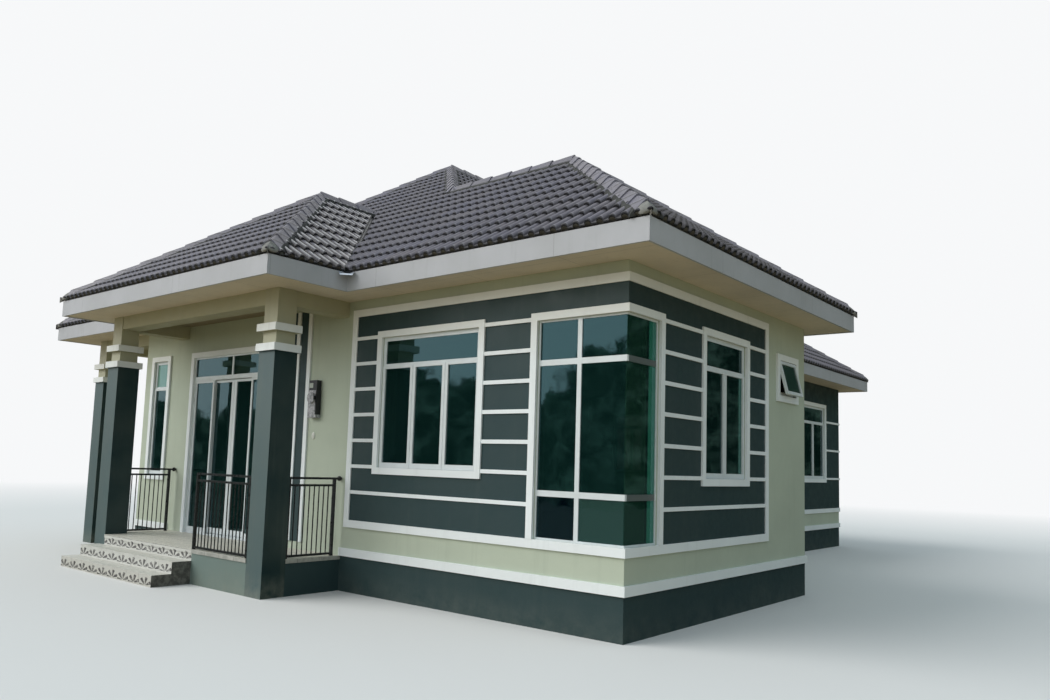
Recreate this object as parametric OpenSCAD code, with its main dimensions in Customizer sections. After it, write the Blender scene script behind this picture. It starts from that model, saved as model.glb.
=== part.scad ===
// Single-storey bungalow with a hipped tile roof, an entrance porch, a glazed corner and a side verandah.
// X runs along the front, Y runs from the front to the back and Z is up, in millimetres.
// Places are set out from the front right corner of the house: X is negative towards the left.
// At the end the whole house is moved so that the middle of its plan lies at the origin.

/* [House plan] */
// Length of the front wall, from the right corner to its left end
front_len = 8825; // [8600:5:9600]
// Depth of the main block, front to back
main_depth = 12450; // [11800:50:14000]
// How far the right wing stands out from the main block
wing_out = 2170; // [1600:10:3000]
// Depth of the right wing
wing_depth = 4370; // [4200:10:5200]
// Thickness of a rendered brick wall
wall_t = 150; // [115:5:230]
// Clear walk between the left wall and the verandah columns
verandah_clear = 1475; // [1000:5:2200]

/* [Levels] */
// Height of one step
riser = 135; // [120:1:170]
// Number of risers from the ground to the floor
risers = 3; // [3:1:3]
// Floor to ceiling
room_h = 3010; // [2850:10:3400]
// Height of the window and door heads above the floor
head_h = 2530; // [2400:10:2650]
// Height of the window sills above the floor
sill_h = 1040; // [800:10:1200]
// Height of the bottom of the glazed corner above the floor
corner_sill_h = 420; // [300:10:600]

/* [Roof] */
// Pitch of every roof slope, in degrees
pitch = 34.5; // [25:0.5:40]
// Overhang of the eaves, from the wall to the outer face of the fascia
eave_out = 484; // [350:1:700]
// Depth of the fascia board
fascia_h = 185; // [150:5:260]
// Thickness of the fascia board
fascia_t = 25; // [18:1:40]
// How far the fascia hangs below the ceiling boards
fascia_drop = 10; // [0:1:30]
// Height of the tile tops above the fascia, at its outer face
tile_rise = 70; // [60:5:120]
// How far the tiles reach past the fascia
tile_out = 40; // [20:5:70]
// Thickness of tiles, battens and rafters, measured upright
roof_t = 110; // [80:5:200]
// Thickness of the ceiling and soffit boards
board_t = 12; // [9:1:25]
// Height of the tile rolls over the slopes
roll_h = 28; // [15:1:40]
// Width of a tile roll
roll_w = 72; // [50:1:100]
// Distance between the rolls: every fourth one of a real roof
roll_pitch = 500; // [400:25:750]
// Width of the caps over the ridges and hips
cap_w = 240; // [160:5:300]
// Height of the caps over the tiles
cap_rise = 88; // [50:1:110]

/* [Porch] */
// Depth of the porch, from the wall to the front of its columns
porch_depth = 1050; // [900:10:1800]
// Distance from the house corner to the porch's right side
porch_right = 3865; // [3845:5:4200]
// Width of the porch over its columns
porch_w = 3980; // [3700:10:4600]
// Width of the lower, dark part of a column
col_w = 300; // [250:10:360]
// How much narrower the upper part of a column is
col_neck = 50; // [10:2:80]
// Projection of the two white rings around a column
ring_out = 30; // [10:1:40]
// Height of each ring
ring_h = 85; // [60:5:120]
// Clear height between the two rings
ring_gap = 140; // [100:5:200]
// Depth of a beam below the soffit
beam_h = 180; // [120:5:260]
// Width of a beam
beam_w = 230; // [150:10:260]
// Distance from the porch's right side to the right end of the steps
steps_inset = 1435; // [1300:5:1700]
// Length of the steps along the front
steps_len = 2400; // [2200:10:2600]
// Depth of one tread
tread = 240; // [220:5:300]
// Thickness of the porch's floor slab, whose edge shows over the base
tile_t = 45; // [25:5:80]
// How far that slab reaches past the base
nosing = 10; // [4:1:30]

/* [Railings] */
// Height of the railings above the floor
rail_h = 905; // [800:5:1000]
// Distance between the two top rails
rail_gap = 80; // [60:5:120]
// Size of the square top rails
rail_t = 25; // [20:1:40]
// Size of a railing post
rail_post = 32; // [25:1:50]
// Diameter of an upright bar, eight sided
rail_bar = 14; // [10:1:20]
// Largest pitch of the upright bars
bar_pitch = 75; // [65:5:110]
// Distance of the front railing's middle line from the porch's front
rail_in_front = 12; // [8:1:40]
// Distance of the right railing's middle line from the porch's right side
rail_in_right = 35; // [20:1:60]
// Distance of the left railing's middle line from the porch's left side
rail_in_left = 128; // [20:1:150]
// Distance of the last post from the house wall
post_gap = 85; // [60:5:150]
// Diameter of the ball that holds a top rail to the wall
rail_ball = 60; // [50:2:80]
// Height of the rail under the bars above the floor
rail_foot = 15; // [5:5:90]

/* [Front windows] */
// Width of the three-light front window's opening
front_win_w = 1490; // [1300:10:1600]
// Distance from the house corner to that opening
front_win_x = 1775; // [1700:5:1900]
// Width of the narrow window beside the entrance
slim_win_w = 415; // [400:10:600]
// Distance from the left end of the front wall to the narrow window
slim_win_x = 290; // [220:5:400]
// Sill of the narrow window above the floor
slim_sill_h = 800; // [600:10:1000]
// Length of the glazed corner along the front
corner_front = 1015; // [900:5:1150]
// Length of the glazed corner along the side
corner_side = 565; // [500:5:700]

/* [Side and rear windows] */
// Width of a two-light side window
side_win_w = 1010; // [900:10:1200]
// Width of the main block's last side window
rear_side_w = 1270; // [1100:10:1400]
// Distance from the house corner to the wing's side window
side_win_y = 1515; // [1400:5:1600]
// Width of the bathroom window
bath_win_w = 525; // [450:5:600]
// Height of the bathroom window
bath_win_h = 430; // [400:5:600]
// Distance from the wing's rear corner to the bathroom window
bath_win_y = 345; // [300:5:500]
// How far the bathroom window's head lies below the other heads
bath_drop = 30; // [0:5:100]
// Angle by which the bathroom sash stands open, in degrees
bath_tilt = 14; // [0:1:25]
// Distance from the rear corner to the last side window of the main block
rear_side_win = 925; // [800:5:1400]

/* [Window parts] */
// Width of the raised surround around an opening
surround_w = 75; // [50:5:100]
// Projection of a surround from the wall
surround_out = 28; // [20:1:45]
// Width of an aluminium frame's outer bars
frame_w = 45; // [20:1:60]
// Height of a window frame's lower bar
frame_foot = 58; // [30:1:70]
// Depth of an aluminium frame
frame_d = 60; // [50:1:80]
// Width of a mullion with the sash bars beside it
mullion_w = 84; // [60:1:110]
// Height of a transom
transom_h = 57; // [40:1:80]
// Height of the top lights, measured in the frame
toplight_h = 308; // [250:1:400]
// Height from a slim or corner window's head to the middle of its transom
slim_top_h = 418; // [350:1:500]
// Setback of the frames from the outer face of the wall
frame_set = 12; // [8:1:60]
// Setback of the panes from the frames' outer face
pane_set = 10; // [6:1:30]
// Thickness of the glass
glass_t = 6; // [5:1:10]
// How far a sash's bars stand out from the frame around them
sash_out = 6; // [3:1:10]
// Bare line of the frame around a sash
sash_back = 3; // [2:1:6]
// Width of the glazed corner's mullion
corner_mullion_w = 48; // [40:1:60]
// Width of the channels along the glazed corner's edges
slim_bar = 20; // [15:1:40]
// Height from the glazed corner's foot to the middle of its lower cross bar
corner_low_h = 438; // [350:5:500]

/* [Facade trim] */
// Length of the dark field along the front
field_front = 3800; // [3600:5:3845]
// Distance from the dark field along the side to the bathroom window's surround
field_bath_gap = 270; // [150:5:500]
// Length of the dark fields on the rear corner
field_rear = 3155; // [2600:5:3300]
// Width of the white border around a dark field
border_w = 85; // [60:5:120]
// Gap between the dark field's border and the ceiling
border_drop = 115; // [60:5:200]
// Height of the white strips
strip_h = 40; // [30:1:60]
// Distance between the white strips
strip_pitch = 300; // [250:5:340]
// Distance between the strips of the rear corner
rear_strip_pitch = 600; // [500:10:700]
// Lowest strip above the floor
strip_first = 745; // [700:5:800]
// Projection of borders and strips from the wall
trim_out = 22; // [15:1:30]
// Thickness of the dark field's render
field_t = 8; // [5:1:12]
// Height of the white band over the plinth
band_h = 92; // [70:1:120]
// Distance from the house corner to the striped panel beside the porch
stripe_x = 4597; // [4500:5:4700]
// Width of each upright white stripe
stripe_w = 68; // [40:5:90]
// Distance between upright stripes
stripe_pitch = 232; // [180:5:260]
// Gap between the upright stripes and the ceiling
stripe_drop = 35; // [20:5:100]
// Number of upright stripes
stripes = 3; // [2:1:4]

/* [Entrance door] */
// Width of the door's opening
door_w = 1975; // [1800:5:2100]
// Distance from the house corner to the door's opening
door_x = 5390; // [5350:5:5600]
// Height of the door leaves' transom above the floor
door_transom = 2190; // [2050:10:2250]
// Setback of the door frame from the outer face of the wall
door_set = 4; // [2:1:5]
// Depth of the door frame
door_frame_d = 112; // [110:1:115]
// Thickness of a door leaf
leaf_t = 30; // [26:1:38]
// Width of the door frame's outer bars
jamb_w = 25; // [20:1:50]
// Width of a leaf's stiles and rails
stile_w = 36; // [30:1:60]
// Width of the two stiles that meet in the middle of the door
meet_w = 58; // [36:1:80]
// Height of a leaf's bottom rail
leaf_foot = 75; // [60:1:120]
// Running clearance around the sliding leaves
run_gap = 6; // [5:1:8]
// Height of the door's sill track
track_h = 20; // [15:1:30]
// Height of the rail that the rollers run on
rail_up = 8; // [6:1:12]
// Width of that rail
rail_w = 6; // [4:1:10]
// Radius of a door roller
roller_r = 15; // [12:1:20]
// Width of a door roller
roller_w = 10; // [6:1:16]
// Gap between a roller and its rail
roller_gap = 0.3; // [0.2:0.1:0.5]

/* [Meter] */
// Width of the electricity meter's box
meter_w = 160; // [130:5:200]
// Height of the meter's box
meter_h = 340; // [260:10:420]
// Depth of the meter's box
meter_d = 75; // [60:5:120]
// Distance from the house corner to the meter's box
meter_x = 4365; // [4250:5:4380]
// Height of the meter's box above the floor
meter_z = 1615; // [1400:5:1800]
// Diameter of the meter's dial
dial_d = 130; // [100:2:130]
// Depth of the dial's rim
dial_out = 30; // [15:1:45]
// Width of the fuse box over the meter
fuse_w = 150; // [120:5:200]
// Height of the fuse box
fuse_h = 125; // [100:5:180]
// Depth of the fuse box
fuse_d = 70; // [60:5:120]

/* [Hidden] */
$fn = 48;

wall_col = [0.66, 0.70, 0.60];
dark_col = [0.17, 0.24, 0.25];
white_col = [0.86, 0.87, 0.85];
roof_col = [0.25, 0.24, 0.26];
glass_col = [0.25, 0.45, 0.40, 0.5];
steel_col = [0.08, 0.08, 0.08];
stone_col = [0.55, 0.55, 0.53];
board_col = [0.72, 0.66, 0.56];

// Levels worked out from the ground up
floor_z = riser * risers;
ceil_z = floor_z + room_h;
head_z = floor_z + head_h;
sill_z = floor_z + sill_h;
corner_z = floor_z + corner_sill_h;
fascia_z = ceil_z - fascia_drop;
eave_z = fascia_z + fascia_h;
rise = tan(pitch);

// Outer faces of the walls
main_x = -wing_out;
left_x = -front_len;
col_left_x = left_x - verandah_clear - col_w;
porch_x1 = -porch_right;
porch_x0 = porch_x1 - porch_w;
porch_y = -porch_depth;

// Outer faces of the fascias, as low and high corners of each roof's plan
main_plan = [[col_left_x - eave_out, -eave_out], [main_x + eave_out, main_depth + eave_out]];
wing_plan = [[main_x - eave_out, -eave_out], [eave_out, wing_depth + eave_out]];
porch_plan = [[porch_x0 - eave_out, porch_y - eave_out], [porch_x1 + eave_out, 0]];

// The middle of the roofs' plan becomes the origin
mid_x = (main_plan[0][0] - tile_out + wing_plan[1][0] + tile_out) / 2;
mid_y = (porch_plan[0][1] - tile_out + main_plan[1][1] + tile_out) / 2;

// Door leaves: two fixed ones in the outer track and two sliding ones in the inner track
door_x1 = -door_x;
door_x0 = door_x1 - door_w;
door_mid = (door_x0 + door_x1) / 2;
half_clear = door_w / 2 - jamb_w;
leaf_w = (half_clear - run_gap / 2 + stile_w) / 2;
transom_z = floor_z + door_transom;
rail_z = floor_z + track_h + rail_up;
leaf_z0 = rail_z + run_gap;
leaf_z1 = transom_z - run_gap;
fixed_y = door_set + 8;
slide_y = fixed_y + leaf_t + run_gap;

// Hairline gap between two pieces that meet but may not touch
joint_gap = 0.3;

// A box between two corners
module box(a, b) translate(a) cube(b - a);

// Moves a child from the house corner to the middle of the plan
module placed() translate([-mid_x, -mid_y, 0]) children();

// A flat shape drawn as along and up, stood on the front: thick layers run from y0 to y1
module on_front(y0, y1) translate([0, y1, 0]) rotate([90, 0, 0]) linear_extrude(height = y1 - y0) children();

// A flat shape drawn as along and up, stood on a side that faces +X: thick layers run from x0 to x1
module on_side(x0, x1) translate([x0, 0, 0]) rotate([90, 0, 90]) linear_extrude(height = x1 - x0) children();

// A flat rectangle between two corners
module rect(a, b) translate(a) square(b - a);

// A flat rectangular ring of width w inside the given corners
module ring2(a, b, w) difference() {
    rect(a, b);
    rect(a + [w, w], b - [w, w]);
}

// Openings: each is a low and a high corner along the wall and up
front_win = [[-front_win_x - front_win_w, sill_z], [-front_win_x, head_z]];
slim_win = [[left_x + slim_win_x, floor_z + slim_sill_h], [left_x + slim_win_x + slim_win_w, head_z]];
door_hole = [[door_x0, floor_z], [door_x1, head_z]];
side_win = [[side_win_y, sill_z], [side_win_y + side_win_w, head_z]];
bath_y0 = wing_depth - bath_win_y - bath_win_w;
bath_win = [[bath_y0, head_z - bath_drop - bath_win_h], [bath_y0 + bath_win_w, head_z - bath_drop]];
rear_side_y1 = main_depth - rear_side_win;
rear_side = [[rear_side_y1 - rear_side_w, sill_z], [rear_side_y1, head_z]];
rear_y0 = main_depth - field_rear;
mid_side_y = (wing_depth + rear_y0 - side_win_w) / 2;
mid_side = [[mid_side_y, sill_z], [mid_side_y + side_win_w, head_z]];
// Plain windows of the sides that are out of sight
rear_win_gap = 925;
rear_wins = [
    [[left_x + rear_win_gap, sill_z], [left_x + rear_win_gap + front_win_w, head_z]],
    [[main_x - rear_win_gap - front_win_w, sill_z], [main_x - rear_win_gap, head_z]]
];
left_wins = [for (k = [1, 3]) [
    [main_depth * k / 4 - front_win_w / 2, sill_z],
    [main_depth * k / 4 + front_win_w / 2, head_z]
]];

// Walls

module base_slab() color(dark_col) placed() linear_extrude(height = floor_z) {
    rect([left_x, 0], [main_x, main_depth]);
    rect([main_x - 1, 0], [0, wing_depth]);
}

module plinth_band() color(white_col) placed() translate([0, 0, floor_z]) linear_extrude(height = band_h)
    difference() {
        union() {
            rect([left_x - trim_out, -trim_out], [main_x + trim_out, main_depth + trim_out]);
            rect([main_x - 1, -trim_out], [trim_out, wing_depth + trim_out]);
        }
        rect([left_x, 0], [main_x, main_depth]);
        rect([main_x - 1, 0], [0, wing_depth]);
        rect([porch_x0, -2 * trim_out], [porch_x1, trim_out]);
    }

module wall_front(x0, x1, z0) on_front(0, wall_t) rect([x0, z0], [x1, ceil_z]);

module hole_front(w) on_front(-1, wall_t + 1) rect(w[0], w[1]);

module front_wall_left() color(wall_col) placed() difference() {
    wall_front(left_x, door_x0, floor_z);
    hole_front(slim_win);
}

module front_wall_over_door() color(wall_col) placed() wall_front(door_x0, door_x1, head_z);

module front_wall_right() color(wall_col) placed() difference() {
    wall_front(door_x1, 0, floor_z);
    hole_front(front_win);
    hole_front([[-corner_front, corner_z], [1, head_z]]);
}

module right_wall() color(wall_col) placed() difference() {
    on_side(-wall_t, 0) rect([wall_t, floor_z], [wing_depth, ceil_z]);
    for (w = [side_win, bath_win, [[0, corner_z], [corner_side, head_z]]])
        on_side(-wall_t - 1, 1) rect(w[0], w[1]);
}

module wing_rear_wall() color(wall_col) placed()
    box([main_x, wing_depth - wall_t, floor_z], [-wall_t, wing_depth, ceil_z]);

module main_side_wall() color(wall_col) placed() difference() {
    on_side(main_x - wall_t, main_x) rect([wing_depth - wall_t, floor_z], [main_depth - wall_t, ceil_z]);
    for (w = [rear_side, mid_side]) on_side(main_x - wall_t - 1, main_x + 1) rect(w[0], w[1]);
}

module rear_wall() color(wall_col) placed() translate([0, main_depth - wall_t, 0]) difference() {
    wall_front(left_x, main_x, floor_z);
    for (w = rear_wins) hole_front(w);
}

module left_wall() color(wall_col) placed() difference() {
    on_side(left_x, left_x + wall_t) rect([wall_t, floor_z], [main_depth - wall_t, ceil_z]);
    for (w = left_wins) on_side(left_x - 1, left_x + wall_t + 1) rect(w[0], w[1]);
}

// Dark fields with white borders and strips

border_z0 = corner_z - border_w;
border_z1 = ceil_z - border_drop;
field_side = bath_y0 - surround_w - field_bath_gap;
strip_zs = [for (k = [0:6]) floor_z + strip_first + strip_pitch * k];

// Dark render of one facade, drawn along and up, clear of its openings and their surrounds
module field2(x0, x1, holes) difference() {
    rect([x0, border_z0], [x1, border_z1]);
    for (w = holes) rect(w[0] - [surround_w, surround_w], w[1] + [surround_w, surround_w]);
}

// Outline border and strips of one facade: strips stop at the surrounds
module trim2(x0, x1, holes, ends) difference() {
    union() {
        difference() {
            rect([x0, border_z0], [x1, border_z1]);
            rect(
                [x0 + ends[0] * border_w, border_z0 + border_w],
                [x1 - ends[1] * border_w, border_z1 - border_w]
            );
        }
        for (z = strip_zs) rect([x0, z - strip_h / 2], [x1, z + strip_h / 2]);
    }
    for (w = holes) rect(w[0] - [surround_w, surround_w], w[1] + [surround_w, surround_w]);
}

corner_front_hole = [[-corner_front, corner_z + surround_w], [2 * surround_w, head_z]];
corner_side_hole = [[-2 * surround_w, corner_z + surround_w], [corner_side, head_z]];

// Strips of the rear corner: its fields reach up to the ceiling and their lowest strip has no border below it
rear_strip_zs = [for (k = [0:2]) floor_z + strip_first + rear_strip_pitch * k + strip_pitch];

module rear_field2(x0, x1, holes) difference() {
    rect([x0, border_z0], [x1, ceil_z]);
    for (w = holes) rect(w[0] - [surround_w, surround_w], w[1] + [surround_w, surround_w]);
}

module rear_trim2(x0, x1, holes) difference() {
    union() {
        rect([x0, border_z0], [x1, border_z0 + border_w]);
        for (z = rear_strip_zs) rect([x0, z - strip_h / 2], [x1, z + strip_h / 2]);
    }
    for (w = holes) rect(w[0] - [surround_w, surround_w], w[1] + [surround_w, surround_w]);
}

// Outline of the upright stripes beside the porch
stripe_z0 = floor_z + band_h;
stripe_z1 = ceil_z - stripe_drop;
stripe_end = -stripe_x - stripe_pitch * (stripes - 1) - stripe_w;

module stripes2() for (k = [0:stripes - 1])
    rect([-stripe_x - stripe_pitch * k - stripe_w, stripe_z0], [-stripe_x - stripe_pitch * k, stripe_z1]);

// Dark render of the front right corner, of the rear corner and behind the upright stripes
module dark_render() color(dark_col) placed() {
    on_front(-field_t, 0) difference() {
        rect([stripe_end, stripe_z0], [-stripe_x, stripe_z1]);
        stripes2();
    }
    on_front(-field_t, 0) difference() {
        field2(-field_front, field_t, [front_win, corner_front_hole]);
        trim2(-field_front, trim_out, [front_win, corner_front_hole], [1, 0]);
    }
    on_side(0, field_t) difference() {
        field2(0, field_side, [side_win, corner_side_hole]);
        trim2(0, field_side, [side_win, corner_side_hole], [0, 1]);
    }
    on_side(main_x, main_x + field_t) difference() {
        rear_field2(rear_y0, main_depth + field_t, [rear_side]);
        rear_trim2(rear_y0, main_depth + trim_out, [rear_side]);
    }
    on_front(main_depth, main_depth + field_t) difference() {
        rear_field2(main_x - field_rear, main_x, [rear_wins[1]]);
        rear_trim2(main_x - field_rear, main_x, [rear_wins[1]]);
    }
}

module facade_strips() color(white_col) placed() {
    on_front(-trim_out, 0) trim2(-field_front, trim_out, [front_win, corner_front_hole], [1, 0]);
    on_side(0, trim_out) trim2(0, field_side, [side_win, corner_side_hole], [0, 1]);
    on_side(main_x, main_x + trim_out) rear_trim2(rear_y0, main_depth + trim_out, [rear_side]);
    on_front(main_depth, main_depth + trim_out) rear_trim2(main_x - field_rear, main_x, [rear_wins[1]]);
}

module upright_stripes() color(white_col) placed() on_front(-trim_out, 0) stripes2();

// Windows

// A raised surround around one opening
module surround2(w, foot) difference() {
    rect(w[0] - [surround_w, foot * surround_w], w[1] + [surround_w, surround_w]);
    rect(w[0] - [0, (1 - foot) * surround_w], w[1]);
}

module window_surrounds() color(white_col) placed() {
    for (w = [front_win, slim_win]) on_front(-surround_out, 0) surround2(w, 1);
    for (w = [side_win, bath_win]) on_side(0, surround_out) surround2(w, 1);
    for (w = [rear_side, mid_side]) on_side(main_x, main_x + surround_out) surround2(w, 1);
    for (w = rear_wins) on_front(main_depth, main_depth + surround_out) surround2(w, 1);
    for (w = left_wins) on_side(left_x - surround_out, left_x) surround2(w, 1);
    corner_surround();
}

// The corner window's surround: two legs that meet over the corner, standing on the facade's border
module corner_surround() {
    on_front(-surround_out, 0) corner_leg2(corner_front, -1);
    on_side(0, surround_out) corner_leg2(corner_side, 1);
    box([0, -surround_out, head_z], [surround_out, 0, head_z + surround_w]);
}

// One leg of the corner surround: its post at the far end and its lintel, on the side given by dir
module corner_leg2(len, dir) mirror([dir < 0 ? 1 : 0, 0]) {
    rect([len, corner_z], [len + surround_w, head_z + surround_w]);
    rect([0, head_z], [len + surround_w, head_z + surround_w]);
}

// Middles of a transom under a top light, and of the slim and corner windows' upper cross bars
transom_mid = head_z - toplight_h - transom_h / 2;
slim_mid = head_z - slim_top_h;

// Frame of a window with upright lights and one top light over a transom
module frame2(w, lights, mid) {
    pitch_x = (w[1][0] - w[0][0]) / lights;
    difference() {
        rect(w[0], w[1]);
        rect(w[0] + [frame_w, frame_foot], w[1] - [frame_w, frame_w]);
    }
    rect([w[0][0], mid - transom_h / 2], [w[1][0], mid + transom_h / 2]);
    if (lights > 1) for (k = [1:lights - 1])
        rect([w[0][0] + pitch_x * k - mullion_w / 2, w[0][1]], [w[0][0] + pitch_x * k + mullion_w / 2, mid]);
}

// Sashes under the transom: their bars cover the frame around each light but for a bare line
module sashes2(w, lights, mid) {
    pitch_x = (w[1][0] - w[0][0]) / lights;
    for (k = [0:lights - 1]) {
        bar0 = k == 0 ? frame_w : mullion_w / 2;
        bar1 = k == lights - 1 ? frame_w : mullion_w / 2;
        a = w[0] + [pitch_x * k, 0];
        b = [w[0][0] + pitch_x * (k + 1), mid];
        difference() {
            rect(a + [sash_back, sash_back], b - [sash_back, 0]);
            rect(a + [bar0, frame_foot], b - [bar1, transom_h / 2]);
        }
    }
}

// A window frame and, proud of its outer face, its sashes: dir points into the house
module slabs_front(y, dir) {
    on_front(min(y, y + dir * frame_d), max(y, y + dir * frame_d)) children(0);
    on_front(min(y, y - dir * sash_out), max(y, y - dir * sash_out)) children(1);
}

module slabs_side(x, dir) {
    on_side(min(x, x + dir * frame_d), max(x, x + dir * frame_d)) children(0);
    on_side(min(x, x - dir * sash_out), max(x, x - dir * sash_out)) children(1);
}

// Frames lie in the walls' openings
module window_frames() color(white_col) placed() {
    slabs_front(frame_set, 1) {
        frame2(front_win, 3, transom_mid);
        sashes2(front_win, 3, transom_mid);
    }
    slabs_front(frame_set, 1) {
        frame2(slim_win, 1, slim_mid);
        sashes2(slim_win, 1, slim_mid);
    }
    for (w = rear_wins) slabs_front(main_depth - frame_set, -1) {
        frame2(w, 3, transom_mid);
        sashes2(w, 3, transom_mid);
    }
    slabs_side(-frame_set, -1) {
        frame2(side_win, 2, transom_mid);
        sashes2(side_win, 2, transom_mid);
    }
    on_side(-frame_set - frame_d, -frame_set) ring2(bath_win[0], bath_win[1], frame_w);
    for (w = [rear_side, mid_side]) slabs_side(main_x - frame_set, -1) {
        frame2(w, 2, transom_mid);
        sashes2(w, 2, transom_mid);
    }
    for (w = left_wins) slabs_side(left_x + frame_set, 1) {
        frame2(w, 3, transom_mid);
        sashes2(w, 3, transom_mid);
    }
}

// Panes of one window fill what its bars leave open
module panes2(w, lights, mid) difference() {
    rect(w[0], w[1]);
    frame2(w, lights, mid);
}

// Middles of the glazed corner's two rows of cross bars, and of its mullion
corner_bar_zs = [corner_z + corner_low_h, slim_mid];
corner_mullion = corner_front / 2 + corner_mullion_w / 2;

// Bars of one leg of the corner window: it starts d from the corner and ends at len
module corner_bars2(d, len, mullion) {
    rect([len - slim_bar, corner_z], [len, head_z]);
    rect([d, corner_z], [len, corner_z + slim_bar]);
    rect([d, head_z - slim_bar], [len, head_z]);
    for (z = corner_bar_zs) rect([d, z - transom_h / 2], [len, z + transom_h / 2]);
    if (mullion > 0)
        rect([mullion - corner_mullion_w / 2, corner_z], [mullion + corner_mullion_w / 2, head_z]);
}

corner_turn = frame_set + frame_d + joint_gap;

module corner_window_frame() color(white_col) placed() {
    on_front(frame_set, frame_set + frame_d) mirror([1, 0])
        corner_bars2(corner_turn, corner_front, corner_mullion);
    on_side(-frame_set - frame_d, -frame_set) corner_bars2(frame_set, corner_side, 0);
}

// Distance of every pane's outer face from the wall's
pane_in = frame_set + pane_set;

// The corner's panes meet edge to face, without a post
module corner_glass() {
    pane_turn = pane_in + glass_t + joint_gap;
    on_front(pane_in, pane_in + glass_t) mirror([1, 0]) difference() {
        rect([pane_turn, corner_z], [corner_front, head_z]);
        corner_bars2(0, corner_front, corner_mullion);
    }
    on_side(-pane_in - glass_t, -pane_in) difference() {
        rect([pane_in, corner_z], [corner_side, head_z]);
        corner_bars2(0, corner_side, 0);
    }
}

module window_glass() color(glass_col) placed() {
    on_front(pane_in, pane_in + glass_t) panes2(front_win, 3, transom_mid);
    on_front(pane_in, pane_in + glass_t) panes2(slim_win, 1, slim_mid);
    for (w = rear_wins)
        on_front(main_depth - pane_in - glass_t, main_depth - pane_in) panes2(w, 3, transom_mid);
    on_side(-pane_in - glass_t, -pane_in) panes2(side_win, 2, transom_mid);
    for (w = [rear_side, mid_side])
        on_side(main_x - pane_in - glass_t, main_x - pane_in) panes2(w, 2, transom_mid);
    for (w = left_wins)
        on_side(left_x + pane_in, left_x + pane_in + glass_t) panes2(w, 3, transom_mid);
    corner_glass();
}

// The bathroom's sash hangs over its frame from the head and stands a little open
sash_t = 30;
sash_bar = 38;
sash_seat = 0.3;
sash_cover = frame_w - 5;
pane_lap = 5;

module bathroom_sash() color(white_col) placed() {
    sash_h = bath_win_h - 2 * frame_w + 2 * sash_cover;
    y0 = bath_y0 + frame_w - sash_cover;
    y1 = bath_y0 + bath_win_w - frame_w + sash_cover;
    top = bath_win[1][1] - frame_w + sash_cover - sash_t * sin(bath_tilt);
    translate([sash_seat - frame_set, 0, top])
        rotate([0, -bath_tilt, 0]) translate([0, 0, -sash_h]) {
            on_side(0, sash_t) ring2([y0, 0], [y1, sash_h], sash_bar);
            on_side((sash_t - glass_t) / 2, (sash_t + glass_t) / 2) rect(
                [y0 + sash_bar - pane_lap, sash_bar - pane_lap],
                [y1 - sash_bar + pane_lap, sash_h - sash_bar + pane_lap]
            );
        }
}

// Entrance door

module door_surround() color(white_col) placed() on_front(-surround_out, 0) surround2(door_hole, 0);

// Pane of one leaf, drawn from the leaf's left edge: w holds the widths of its left and right stiles
module leaf_pane2(z0, z1, w) rect([w[0], z0 + leaf_foot], [leaf_w - w[1], z1 - stile_w]);

// Frame of one leaf around its pane
module leaf2(z0, z1, w) difference() {
    rect([0, z0], [leaf_w, z1]);
    leaf_pane2(z0, z1, w);
}

fixed_stiles = [stile_w, stile_w];
left_stiles = [stile_w, meet_w];
right_stiles = [meet_w, stile_w];

fixed_left_x = door_x0 + jamb_w;
fixed_right_x = door_x1 - jamb_w - leaf_w;
slide_left_x = fixed_left_x + leaf_w - stile_w;
slide_right_x = fixed_right_x - leaf_w + stile_w;

module door_frame() color(white_col) placed() {
    on_front(door_set, door_set + door_frame_d) {
        difference() {
            rect([door_x0, floor_z], [door_x1, head_z]);
            rect([door_x0 + jamb_w, floor_z + track_h], [door_x1 - jamb_w, transom_z]);
            rect([door_x0 + jamb_w, transom_z + transom_h], [door_x1 - jamb_w, head_z - jamb_w]);
        }
        rect([door_mid - stile_w / 2, transom_z + transom_h], [door_mid + stile_w / 2, head_z - jamb_w]);
    }
    // rail that the rollers run on
    box(
        [door_x0 + jamb_w, slide_y + (leaf_t - rail_w) / 2, floor_z + track_h],
        [door_x1 - jamb_w, slide_y + (leaf_t + rail_w) / 2, rail_z]
    );
}

// A leaf that stands still on the track
module fixed_leaf(x) translate([x, 0, 0])
    on_front(fixed_y, fixed_y + leaf_t) leaf2(floor_z + track_h, transom_z, fixed_stiles);

module left_fixed_leaf() color(white_col) placed() fixed_leaf(fixed_left_x);

module right_fixed_leaf() color(white_col) placed() fixed_leaf(fixed_right_x);

module door_glass() color(glass_col) placed() {
    fixed_in = fixed_y + (leaf_t - glass_t) / 2;
    for (x = [fixed_left_x, fixed_right_x]) translate([x, 0, 0])
        on_front(fixed_in, fixed_in + glass_t) leaf_pane2(floor_z + track_h, transom_z, fixed_stiles);
    top_in = door_set + pane_set;
    for (x = [[door_x0 + jamb_w, door_mid - stile_w / 2], [door_mid + stile_w / 2, door_x1 - jamb_w]])
        on_front(top_in, top_in + glass_t) rect([x[0], transom_z + transom_h], [x[1], head_z - jamb_w]);
}

// One sliding leaf with its two rollers, from its left edge
module sliding_leaf(x, stiles) translate([x, 0, 0]) {
    on_front(slide_y, slide_y + leaf_t) leaf2(leaf_z0, leaf_z1, stiles);
    for (rx = [stile_w * 1.5, leaf_w - stile_w * 1.5])
        translate([rx, slide_y + (leaf_t + roller_w) / 2, rail_z + roller_gap + roller_r])
            rotate([90, 0, 0]) cylinder(r = roller_r, h = roller_w);
}

module sliding_glass(x, stiles) translate([x, 0, 0])
    on_front(slide_y + (leaf_t - glass_t) / 2, slide_y + (leaf_t + glass_t) / 2)
        leaf_pane2(leaf_z0, leaf_z1, stiles);

module left_sliding_leaf() color(white_col) placed() sliding_leaf(slide_left_x, left_stiles);

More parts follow.
